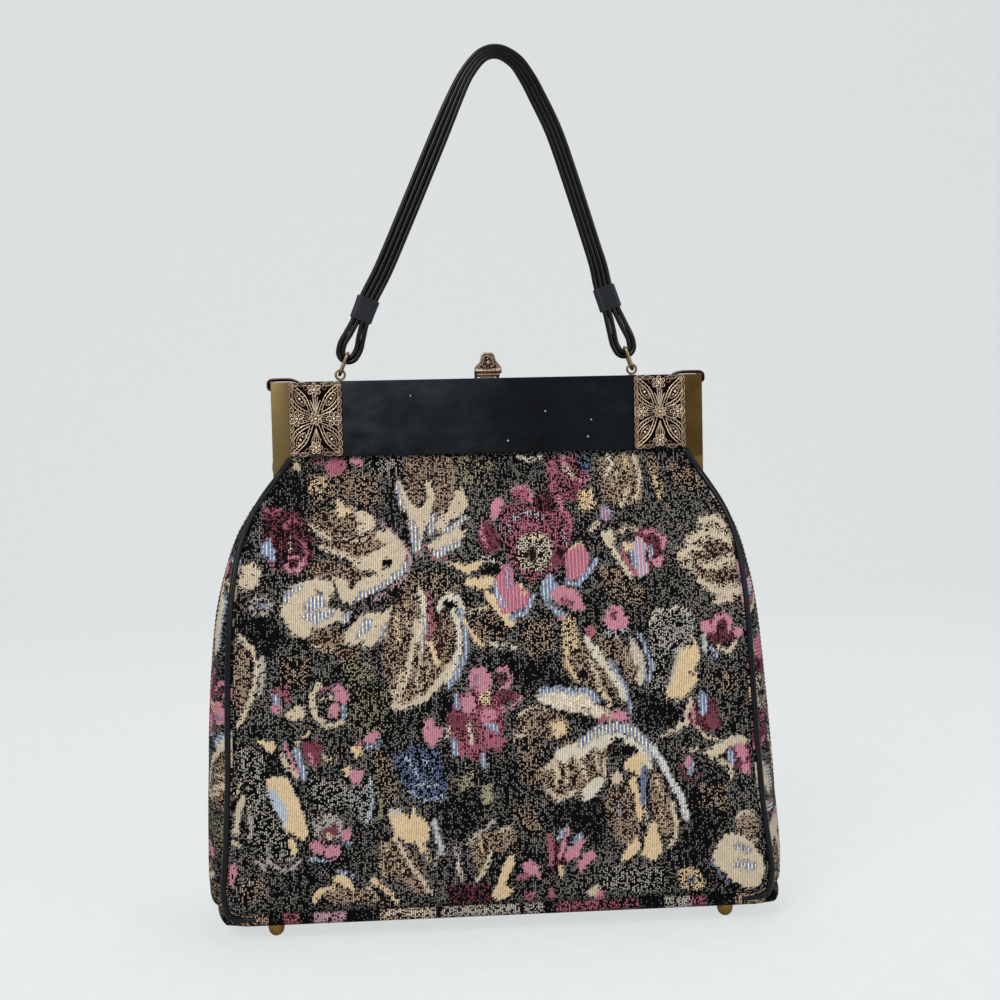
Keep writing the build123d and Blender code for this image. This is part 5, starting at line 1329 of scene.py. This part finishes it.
def newGrower(name, sizeName, build):  # a node group with a size and a metal, around what build adds to it
    tree = bpy.data.node_groups.new(name, "GeometryNodeTree")
    face = tree.interface
    face.new_socket("Geometry", in_out="INPUT", socket_type="NodeSocketGeometry")
    size = face.new_socket(sizeName, in_out="INPUT", socket_type="NodeSocketFloat")
    metal = face.new_socket("Metal", in_out="INPUT", socket_type="NodeSocketMaterial")
    face.new_socket("Geometry", in_out="OUTPUT", socket_type="NodeSocketGeometry")
    start, end = tree.nodes.new("NodeGroupInput"), tree.nodes.new("NodeGroupOutput")
    shape = build(tree, start.outputs["Geometry"], start.outputs[sizeName])
    done = addNode(tree, "GeometryNodeSetMaterial", {"Geometry": shape, "Material": start.outputs["Metal"]})
    tree.links.new(done.outputs[0], end.inputs[0])
    return tree, {sizeName: size.identifier, "Metal": metal.identifier}


def roundWires(tree, curves, radius):  # as thick at a point as its radius factor says
    circle = addNode(tree, "GeometryNodeCurvePrimitiveCircle", {"Resolution": 8, "Radius": radius})
    values = {"Curve": curves, "Profile Curve": circle.outputs[0], "Fill Caps": True}
    body = addNode(tree, "GeometryNodeCurveToMesh", values)
    if "Scale" in body.inputs:
        tree.links.new(tree.nodes.new("GeometryNodeInputRadius").outputs[0], body.inputs["Scale"])
    soft = addNode(tree, "GeometryNodeSetShadeSmooth", {"Geometry": body.outputs[0]})
    return addNode(tree, "GeometryNodeRealizeInstances", {0: soft.outputs[0]}).outputs[0]


def ballsOnPoints(tree, points, radius):  # each as large as its "size"
    ball = addNode(tree, "GeometryNodeMeshUVSphere", {"Segments": 12, "Rings": 8, "Radius": radius})
    size = addNode(tree, "GeometryNodeInputNamedAttribute", {"Name": "size"}, data_type="FLOAT")
    values = {"Points": points, "Instance": ball.outputs[0], "Scale": size.outputs["Attribute"]}
    put = addNode(tree, "GeometryNodeInstanceOnPoints", values)
    real = addNode(tree, "GeometryNodeRealizeInstances", {0: put.outputs[0]})
    return addNode(tree, "GeometryNodeSetShadeSmooth", {"Geometry": real.outputs[0]}).outputs[0]


def grown(obj, treeAndInputs, values):  # the evaluated result as a plain mesh object
    tree, inputs = treeAndInputs
    modifier = obj.modifiers.new("grow", "NODES")
    modifier.node_group = tree
    for key, value in values.items():
        modifier[inputs[key]] = value
    bpy.context.view_layer.update()
    view = bpy.context.evaluated_depsgraph_get()
    mesh = bpy.data.meshes.new_from_object(obj.evaluated_get(view))
    name = obj.name
    bpy.data.objects.remove(obj)
    return addObject(name, mesh)


wires = newGrower("wireMaker", "Wire Radius", roundWires)
beads = newGrower("beadMaker", "Bead Radius", ballsOnPoints)


def grownWires(name, strokes, radius, metal):
    return grown(wireObject(name, strokes), wires, {"Wire Radius": radius * mm, "Metal": metal})


def grownBeads(name, places, radius, metal):
    return grown(beadObject(name, places), beads, {"Bead Radius": radius * mm, "Metal": metal})


def wireObject(name, strokes):  # strokes: points (x, y, z) in mm, a radius factor, closed or not
    data = bpy.data.curves.new(name, "CURVE")
    data.dimensions = "3D"
    for points, factor, closed in strokes:
        spline = data.splines.new("POLY")
        spline.points.add(len(points) - 1)
        for point, place in zip(spline.points, points):
            point.co = (place[0] * mm, place[1] * mm, place[2] * mm, 1)
            point.radius = factor
        spline.use_cyclic_u = closed
    obj = bpy.data.objects.new(name, data)
    bpy.context.scene.collection.objects.link(obj)
    return obj


def beadObject(name, places):  # places: (x, y, z, size factor)
    mesh = bpy.data.meshes.new(name)
    mesh.from_pydata([(x * mm, y * mm, z * mm) for x, y, z, _ in places], [], [])
    mesh.attributes.new("size", "FLOAT", "POINT").data.foreach_set("value", [p[3] for p in places])
    return addObject(name, mesh)


filigree = {
    "half": 12.6, "tall": 18.1, "centreX": 86.15, "centreZ": 251.3, "wire": 0.25, "bead": 0.5,
    "backInset": 0.8, "backDepth": 0.16, "backThick": 0.28, "frameInset": 1.75,
}


def filigreeDesign():  # strokes and beads about the middle: across, up, proud
    strokes, dots = [], []

    def bend(points, count=18):
        return curveThrough(points, count)[0]

    def add(points, proud=0.6, factor=1.0, closed=False, arch=0.0):
        n = len(points)
        lift = [proud + arch * math.sin(math.pi * i / max(n - 1, 1)) for i in range(n)]
        strokes.append(([(p[0], l, p[1]) for p, l in zip(points, lift)], factor, closed))

    def loop(cx, cz, rx, rz, proud=0.55, factor=0.85, turnBy=0.0, count=14):
        c, s = math.cos(turnBy), math.sin(turnBy)
        points = []
        for k in range(count):
            a = 2 * math.pi * k / count
            u, v = rx * math.cos(a), rz * math.sin(a)
            points.append((cx + u * c - v * s, cz + u * s + v * c))
        add(points, proud, factor, True)

    def flower(cx, cz, petals, reach, petal, core, start=0.0):
        for k in range(petals):
            a = start + 2 * math.pi * k / petals
            loop(cx + reach * math.cos(a), cz + reach * math.sin(a), petal, petal * 0.86, 0.95, 0.95, a)
            dots.append((cx + reach * math.cos(a), 0.75, cz + reach * math.sin(a), 0.72))
        dots.append((cx, 1.15, cz, core))
        loop(cx, cz, core * 0.85, core * 0.85, 0.8, 0.7)

    half, tall = filigree["half"], filigree["tall"]
    flower(0, 0.2, 7, 2.35, 0.95, 1.75, 0.4)
    flower(-0.4, 14.6, 6, 2.3, 1.1, 1.7, math.pi / 6)
    flower(-0.2, -14.2, 6, 2.2, 1.05, 1.6, 0)
    flower(-9.4, 0.3, 6, 2.5, 1.2, 1.6, math.pi / 6)
    flower(9.0, 0.1, 6, 2.5, 1.2, 1.7, 0)

    for sx in (-1, 1):
        for sz in (-1, 1):
            def place(points):
                return [(sx * x, sz * z) for x, z in points]
            for inner, outer in (
                ([(1.4, 3.0), (2.9, 7.2), (5.4, 12.2), (10.6, 17.2)],
                 [(2.9, 2.7), (4.1, 6.8), (6.7, 11.6), (11.7, 16.0)]),
                ([(2.6, 1.9), (6.9, 3.6), (10.2, 6.0), (12.1, 9.0)],
                 [(2.9, 3.3), (6.3, 5.1), (9.3, 7.5), (11.6, 11.0)]),
            ):
                a, b = bend(inner, 22), bend(outer, 22)
                add(place(a), 0.75, 0.95, arch=0.35)
                add(place(b), 0.75, 0.9, arch=0.35)
                for k in range(2, 21, 3):  # rungs
                    add(place([a[k], b[min(k + 1, 21)]]), 0.7, 0.7)
            # the almond with its beads
            cx, cz, tilt = 7.6, 9.9, math.atan2(1.55, 1.0)
            c, s = math.cos(tilt), math.sin(tilt)
            for size, proud in ((1.0, 0.75), (0.72, 0.55)):
                for way in (-1, 1):
                    rim = []
                    for t in np.linspace(-1, 1, 13):
                        u = 3.9 * size * t
                        v = way * 1.75 * size * (1 - t * t) ** 0.85
                        rim.append((cx + u * c - v * s, cz + u * s + v * c))
                    add(place(rim), proud, 0.95 if size == 1 else 0.7)
            for t, big in ((0.25, 1.5), (-1.6, 0.95), (1.9, 0.8)):
                dots.append((sx * (cx + t * c), 1.0, sz * (cz + t * s), big))
            # small curls between the almond and the border
            for x, z, r in ((10.9, 12.9, 0.85), (4.6, 15.6, 1.0), (3.4, 17.0, 0.7), (11.6, 5.0, 0.8), (5.0, 8.3, 0.6)):
                loop(sx * x, sz * z, r, r * 1.1, 0.55, 0.8)
            # fan in the corner
            for k in range(4):
                a = math.radians(20 + 17 * k)
                start = (12.2 - 3.4 * math.cos(a) * 0.9, 17.7 - 3.4 * math.sin(a))
                add(place([start, (12.2 - 0.9 * math.cos(a), 17.7 - 0.9 * math.sin(a))]), 0.6, 0.75)
        # strokes from the middle flower to the side flowers
        for z, w in ((-1.6, 0.75), (-0.6, 0.8), (0.5, 0.8), (1.5, 0.75)):
            add([(sx * 3.5, z * 0.75 + 0.2), (sx * 6.1, z * 1.25 + 0.2)], 0.7, w)
    # the fan above the middle and the drops below
    for x, top in ((-2.6, 9.4), (-1.25, 11.2), (0.0, 11.9), (1.2, 11.2), (2.5, 9.4)):
        add(bend([(x * 0.22, 3.6), (x * 0.6, 7.2), (x, top)], 10), 0.8, 1.0, arch=0.2)
    for size in (1.0, 0.55):
        for way in (-1, 1):
            drop = [(0, -4.4), (way * 0.9 * size, -7.4), (way * 2.2 * size, -10.6), (way * 1.5 * size, -12.2)]
            add(bend(drop, 14), 0.8, 0.95)
    add([(0, -5.0), (0, -11.6)], 0.85, 0.9)

    # scalloped border of little loops
    rim, across, up = [], 6, 9
    for k in range(up):
        z = -tall + (k + 0.5) * 2 * tall / up
        for sx in (-1, 1):
            rim.append((sx * (half - 0.75), z, 0.95, tall / up * 0.93))
    for k in range(across):
        x = -half + (k + 0.5) * 2 * half / across
        for sz in (-1, 1):
            if abs(x) < 2.4:
                continue
            rim.append((x, sz * (tall - 0.75), half / across * 0.93, 0.95))
    for x, z, rx, rz in rim:
        loop(x, z, rx, rz, 0.6, 1.05)
        loop(x * 0.985, z * 0.99, rx * 0.42, rz * 0.42, 0.5, 0.75, count=8)
    # a thin frame just inside the scallops
    x, z = half - filigree["frameInset"], tall - filigree["frameInset"]
    add([(-x, -z), (x, -z), (x, z), (-x, z)], 0.3, 0.6, True)
    return strokes, dots


def makeFiligree(name, hand):
    strokes, dots = filigreeDesign()
    cx, cz, face = hand * filigree["centreX"], filigree["centreZ"], -bag["jawFace"]
    moved = [([(cx + x, face - lift, cz + z) for x, lift, z in points], factor, closed)
             for points, factor, closed in strokes]
    wire = grownWires("wire" + name, moved, filigree["wire"], filigreeBrass)
    balls = [(cx + x, face - lift, cz + z, size) for x, lift, z, size in dots]
    bead = grownBeads("bead" + name, balls, filigree["bead"], filigreeBrass)
    obj = joinMeshes(name, [wire, bead], filigreeBrass)
    smooth(obj.data)
    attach(obj, "front_jaw")
    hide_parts("left_filigree" if hand < 0 else "right_filigree")
    # the dark plate behind the openwork
    form = bmesh.new()
    bmesh.ops.create_cube(form, size=1)
    across, upwards = (2 * (filigree[k] - filigree["backInset"]) for k in ("half", "tall"))
    for v in form.verts:
        v.co = Vector((cx + v.co.x * across, face - filigree["backDepth"] + v.co.y * filigree["backThick"],
                       cz + v.co.z * upwards)) * mm
    bmesh.ops.recalc_face_normals(form, faces=form.faces)
    mesh = bpy.data.meshes.new(name + "Back")
    form.to_mesh(mesh)
    form.free()
    plate = addObject(name + "Back", mesh, recessBrown)
    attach(plate, "front_jaw")


makeFiligree("leftFiligree", -1)
makeFiligree("rightFiligree", 1)
print("filigree made")


# Clasp
clasp = {"middle": 0.7, "y": 3.2, "wire": 0.5, "bead": 0.5, "backDepth": 0.35}
claspRolls = [  # low and high edge, half length, thickness and emboss
    {"low": 272.6, "high": 275.4, "half": 6.9, "thick": 1.7, "emboss": 0.3},
    {"low": 270.9, "high": 273.0, "half": 5.9, "thick": 1.5, "emboss": 0.0},
]
claspDots = [  # across, proud, height and size factor
    (0.1, 0.9, 278.0, 2.7), (2.0, 0.6, 278.3, 1.0), (-1.9, 0.6, 278.2, 1.0), (-1.5, 0.6, 276.6, 1.0),
    (1.6, 0.6, 276.6, 1.0), (0.1, 0.6, 276.0, 0.9), (1.3, 0.6, 279.4, 0.8), (-4.2, 0.5, 275.8, 0.8),
    (4.3, 0.5, 275.8, 0.8),
]


def claspRoll(name, roll):  # a barrel across the tab, embossed with a row of ovals where "emboss" says so
    columns, around = 110, 24
    middle, rise = (roll["low"] + roll["high"]) / 2, (roll["high"] - roll["low"]) / 2
    points = []
    for c in range(columns):
        across = -1 + 2 * c / (columns - 1)
        shrink = 1 - 0.3 * max(0.0, abs(across) - 0.9) / 0.1
        oval = roll["emboss"] * math.sin(across * math.pi * 3.5) ** 2
        for k in range(around):
            a = 2 * math.pi * k / around
            out, up = math.cos(a), math.sin(a)
            proud = oval * max(0.0, out) * math.exp(-(up / 0.6) ** 2)
            depth = clasp["y"] - 0.2 - (roll["thick"] * out + proud) * shrink
            points.append((clasp["middle"] + across * roll["half"], depth, middle + up * rise * shrink))
    return closedMesh(name, points, closedRings(columns, around))


def makeClasp():
    y, middle = clasp["y"], clasp["middle"]
    strokes = []

    def add(points, lift, factor):
        strokes.append(([(x + middle, y - lift, z) for x, z in points], factor, False))

    def curve(points, count, lift, factor):
        add(curveThrough(points, count)[0], lift, factor)

    edge = [(-6.6, 275.0), (-5.5, 276.8), (-3.9, 278.4), (-3.2, 280.3), (-2.7, 282.0), (-1.4, 282.9), (0.1, 282.7),
            (1.4, 282.9), (2.7, 282.1), (3.2, 280.4), (4.0, 278.5), (5.5, 276.8), (6.6, 275.0)]
    rim = curveThrough(edge, 60)[0]
    add(rim, 0.1, 1.1)
    curve([(-5.5, 275.2), (-4.3, 276.6), (-2.8, 278.0), (-2.2, 279.9), (-1.6, 281.3), (-0.4, 281.9), (0.6, 281.8),
           (1.7, 281.3), (2.2, 279.9), (2.9, 278.0), (4.4, 276.6), (5.6, 275.2)], 60, 0.3, 0.75)
    curve([(-1.9, 279.8), (-2.1, 280.8), (-1.3, 281.6), (-0.3, 281.5), (0.2, 280.8), (-0.1, 280.1), (-0.8, 280.0)],
          40, 0.6, 0.85)
    curve([(-2.4, 278.7), (-2.9, 277.4), (-2.4, 276.2), (-1.0, 275.8)], 24, 0.55, 0.8)
    curve([(0.6, 281.2), (1.6, 280.6), (1.9, 279.8)], 16, 0.5, 0.7)
    curve([(2.6, 278.4), (2.9, 277.2), (2.3, 276.2), (1.2, 275.8)], 24, 0.5, 0.7)
    dots = [(middle + x, y - lift, z, size) for x, lift, z, size in claspDots]
    wire = grownWires("claspWire", strokes, clasp["wire"], claspBrass)
    bead = grownBeads("claspBead", dots, clasp["bead"], claspBrass)
    rolls = [claspRoll(f"claspRoll{n}", roll) for n, roll in enumerate(claspRolls)]
    obj = joinMeshes("claspTab", [wire, bead] + rolls, claspBrass)
    smooth(obj.data, 50)
    # the dark plate behind the tracery
    depth = clasp["backDepth"]
    points = [(x + middle, y + side * depth, z) for side in (-1, 1) for x, z in rim]
    count = len(rim)
    faces = [list(range(count)), [count + k for k in range(count)]]
    faces += [[k, (k + 1) % count, count + (k + 1) % count, count + k] for k in range(count)]
    plate = closedMesh("claspPlate", points, faces, claspDark)
    for piece in (obj, plate):
        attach(piece, "clasp")
        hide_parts("clasp_lever")


makeClasp()
print("clasp made")


clip = {"inner": 94.6, "outer": 109.6, "top": 271.4, "drop": 266.2, "thick": 0.72, "deep": 8.1}


def makeCorner(name, node, hand):  # a folded bar over the corner, rolled in at its outer end
    inner, outer, top, drop = clip["inner"], clip["outer"], clip["top"], clip["drop"]
    bar = [(inner, top - 1.9), (inner + 1.4, top - 1.0), (inner + 3.0, top - 0.3), (inner + 5.0, top),
           (outer - 3.0, top), (outer - 1.0, top - 0.35), (outer, top - 1.5), (outer + 0.1, drop + 1.6),
           (outer - 0.35, drop + 0.5), (outer - 0.9, drop + 0.3)]
    path = [(hand * x, 0.0, z) for x, z in curveThrough(bar, 90)[0]]
    pieces = []
    for y, depth in ((-clip["deep"] / 2 - 0.1, 3.0), (0.0, 5.5), (clip["deep"] / 2 + 0.1, 3.0)):
        moved = [(x, y, z) for x, _, z in path]
        pieces.append(tube(name + "Part", moved, clip["thick"], 20, None, depth))
    roll = [(outer - 1.3, top - 1.6), (outer - 2.6, top - 1.5), (outer - 3.3, top - 2.2), (outer - 2.7, top - 2.9)]
    curl = [(hand * x, -8.6, z) for x, z in curveThrough(roll, 30)[0]]
    pieces.append(tube(name + "Roll", curl, 0.4, 12, None))
    obj = joinMeshes(name, pieces, clipCopper)
    smooth(obj.data, 50)
    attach(obj, "back_jaw")
    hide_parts(node)


makeCorner("leftCorner", "left_corner_clip", -1)
makeCorner("rightCorner", "right_corner_clip", 1)
print("corners made")


handle = {
    "plane": 1.2, "strand": 1.22, "pitch": 2.44, "innerTurn": 2.7, "outerTurn": 5.06,
    "ends": {-1: {"turn": (-69.63, 284.73), "up": (0.381, 0.9245), "keeper": 22.9},
             1: {"turn": (70.37, 285.0), "up": (-0.3206, 0.9472), "keeper": 26.0}},
    "middle": [(-50.4, 327.0), (-37.3, 356.0), (-24.6, 384.7), (-12.4, 411.9), (-6.0, 423.6), (1.4, 431.6),
               (9.4, 433.2), (17.6, 428.6), (23.4, 420.6), (28.6, 410.6), (36.7, 393.0), (45.0, 368.0),
               (54.0, 338.8), (57.8, 326.0)],
    "pinchAt": 0.49, "pinch": 0.34, "keeperLong": 12.0, "keeperHalf": 5.67, "keeperDeep": 2.1,
}


def handleEnd(hand):  # where the cord turns, the way up to the keeper and across, and the keeper's distance
    end = handle["ends"][hand]
    turnAt, up = np.array(end["turn"]), np.array(end["up"])
    return turnAt, up, np.array([up[1], -up[0]]), end["keeper"]


def handleRoute():  # the middle line from keeper to keeper
    ends = []
    for hand in (-1, 1):
        turnAt, up, _, keeper = handleEnd(hand)
        ends.append([turnAt + up * (keeper - 7), turnAt + up * (keeper + 6)])
    return np.array(ends[0] + [np.array(p) for p in handle["middle"]] + ends[1][::-1])


def makeCords():
    route, _ = curveThrough(handleRoute(), 420)
    tangent = np.gradient(route, axis=0)
    tangent /= np.linalg.norm(tangent, axis=1)[:, None]
    out = np.stack([-tangent[:, 1], tangent[:, 0]], 1)  # towards the outside of the arch
    share = np.linspace(0, 1, len(route))
    pinched = handle["pinch"] * np.exp(-((share - handle["pinchAt"]) / 0.09) ** 2)
    spread = 1 - pinched - 0.1 * smoothStep(0.52, 0.7, share) * (1 - smoothStep(0.88, 0.97, share))
    for name, node, rank, loop in (("innerCord", "inner_cord", 0.5, handle["innerTurn"]),
                                   ("outerCord", "outer_cord", 1.5, handle["outerTurn"])):
        pieces = []
        reach = rank * handle["pitch"]
        for side in (-1, 1):
            lift = 0.28 * np.sin(share * 26 + rank * 2.1 + side) * (1 - spread) / handle["pinch"]
            line = route + out * (side * reach * spread)[:, None]
            path = [(x, handle["plane"] + up, z) for (x, z), up in zip(line, lift)]
            pieces.append(tube(name + "Strand", path, handle["strand"], 16, None))
        for hand in (-1, 1):
            turnAt, up, across, keeper = handleEnd(hand)
            start = keeper - 7
            half = [(reach, start + 0.5), (reach, start - 0.5), (reach * 0.55 + loop * 0.5 + 0.1, start * 0.55),
                    (loop + 0.4, 3.4)]
            turning = [(loop * math.cos(a), -loop * math.sin(a)) for a in np.linspace(0.15, math.pi - 0.15, 9)]
            outline = half + turning + [(-a, b) for a, b in half[::-1]]
            flat = [turnAt + across * a + up * b for a, b in curveThrough(outline, 110)[0]]
            path = [(x, handle["plane"], z) for x, z in flat]
            pieces.append(tube(name + "Loop", path, handle["strand"], 16, None))
        obj = joinMeshes(name, pieces, cordLeather)
        smooth(obj.data, 60)
        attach(obj, "handle")
        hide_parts(node)


def makeKeeper(name, node, hand):  # a wrapped sleeve with a lapped seam
    turnAt, up, across, keeper = handleEnd(hand)
    rows, around, widest = 40, 64, handle["keeperHalf"]
    points = []
    for i in range(rows):
        t = i / (rows - 1)
        rim = min(t, 1 - t) * handle["keeperLong"]
        soft = 1 - 0.1 * (1 - min(1.0, rim / 0.55)) ** 2
        flare = 0.25 * t ** 3 if hand < 0 else 0.1 * (1 - t) ** 2
        for k in range(around):
            a = 2 * math.pi * k / around
            c, s = math.cos(a), math.sin(a)
            wide = math.copysign(abs(c) ** 0.42, c) * (widest + flare)
            deep = math.copysign(abs(s) ** 0.62, s) * handle["keeperDeep"]
            seam = 0.4 * smoothStep(-widest * 0.62, -widest * 0.7, wide) if hand > 0 and s < 0 else 0.0
            place = turnAt + across * wide * soft + up * (keeper + (t - 0.5) * handle["keeperLong"])
            points.append((place[0], handle["plane"] + deep * soft - seam, place[1]))
    obj = closedMesh(name, points, closedRings(rows, around), keeperLeather)
    smooth(obj.data, 45)
    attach(obj, "handle")
    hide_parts(node)


makeCords()
makeKeeper("leftKeeper", "left_keeper", -1)
makeKeeper("rightKeeper", "right_keeper", 1)
print("handle made")


# Feet
foot = {
    "x": 111.0, "y": 32.0, "top": 8.9, "sides": 48, "flutes": 16, "fluteRadius": 0.42,
    "profile": [(1.6, 0.0), (2.5, 0.5), (3.2, 1.6), (3.8, 3.4), (4.15, 6.0), (4.2, 8.6), (2.2, 8.9)],
}


def makeFoot(name, node, x, y):
    sides = foot["sides"]
    curve, _ = curveThrough(foot["profile"], 22)
    points = [(x, y, 0.0)]
    for r, z in curve:
        within = max(r - 0.3, 0.2)
        for k in range(sides):
            a = 2 * math.pi * k / sides
            points.append((x + within * math.cos(a), y + within * math.sin(a), max(z, 0)))
    points.append((x, y, foot["top"]))
    last = 1 + (len(curve) - 1) * sides
    faces = [[0, 1 + (k + 1) % sides, 1 + k] for k in range(sides)] + ringFaces(len(curve), sides, 1)
    faces += [[len(points) - 1, last + k, last + (k + 1) % sides] for k in range(sides)]
    mesh = bpy.data.meshes.new(name)
    mesh.from_pydata([(a * mm, b * mm, c * mm) for a, b, c in points], [], faces)
    core = addObject(name + "Core", mesh)
    strokes = []
    for k in range(foot["flutes"]):
        a = 2 * math.pi * k / foot["flutes"]
        line = [(x + (r - 0.38) * math.cos(a), y + (r - 0.38) * math.sin(a), max(z, 0.45)) for r, z in curve[4:18]]
        strokes.append((line, 1.0, False))
    flutes = grownWires(name + "Flutes", strokes, foot["fluteRadius"], footBrass)
    obj = joinMeshes(name, [core, flutes], footBrass)
    smooth(obj.data, 45)
    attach(obj, "bag")
    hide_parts(node)


for depthName, y in (("front", -foot["y"]), ("back", foot["y"])):
    for handName, x in (("left", -foot["x"]), ("right", foot["x"])):
        makeFoot(f"{depthName}{handName.capitalize()}Foot", f"foot_{depthName}_{handName}", x, y)
print("feet made")


# Pieces that keep their solids
def plainCloth(name, tone, rib):
    material, tree, shader = newMaterial(name, Roughness=0.9, Sheen_Weight=0.1)
    where = objectPlace(tree)
    ribs = {"Vector": where, "Scale": 1 / (rib * mm * 2 * math.pi) * 3.14, "Distortion": 0.6}
    thread, cross = (addNode(tree, "ShaderNodeTexWave", ribs, bands_direction=way) for way in ("X", "Z"))
    height = calc(tree, "MULTIPLY", thread.outputs[1], cross.outputs[1])
    soft = noise(tree, where, 40, 3)
    color = ramp(tree, soft, [(0.3, paint(*[c * 0.85 for c in tone])), (0.7, paint(*[c * 1.12 for c in tone]))])
    # painted highlight: the colour is made paler on the crests of the threads
    color = blendColors(tree, calc(tree, "MULTIPLY", height, 0.35), color, paint(*[c * 1.3 for c in tone]))
    tree.links.new(color, shader.inputs["Base Color"])
    bump(tree, shader, height, 0.00012)
    return material


liningCloth = plainCloth("liningCloth", (58, 52, 52), 0.5)
boardGrey = plainCloth("boardGrey", (120, 112, 100), 0.8)
plainSteel = brassMaterial("plainSteel", (150, 148, 144), (104, 98, 92), 0.4, 0.4, 120)

finishes = {
    "lining": liningCloth, "base_board": boardGrey, "front_stiffener": liningCloth, "back_stiffener": liningCloth,
    "foot_washers": plainSteel, "left_rivet": capLeftBrass, "right_rivet": capRightBrass,
    "front_frame": darkSteel, "back_frame": darkSteel,
    "clasp_catch": claspBrass, "clasp_base": claspDark, "clasp_pin": claspBrass,
    "left_handle_eye": ringBrass, "right_handle_eye": ringBrass, "left_ring": ringBrass, "right_ring": ringBrass,
}
for nodeName, material in finishes.items():
    for slot in nodes[nodeName].material_slots:
        slot.material = material
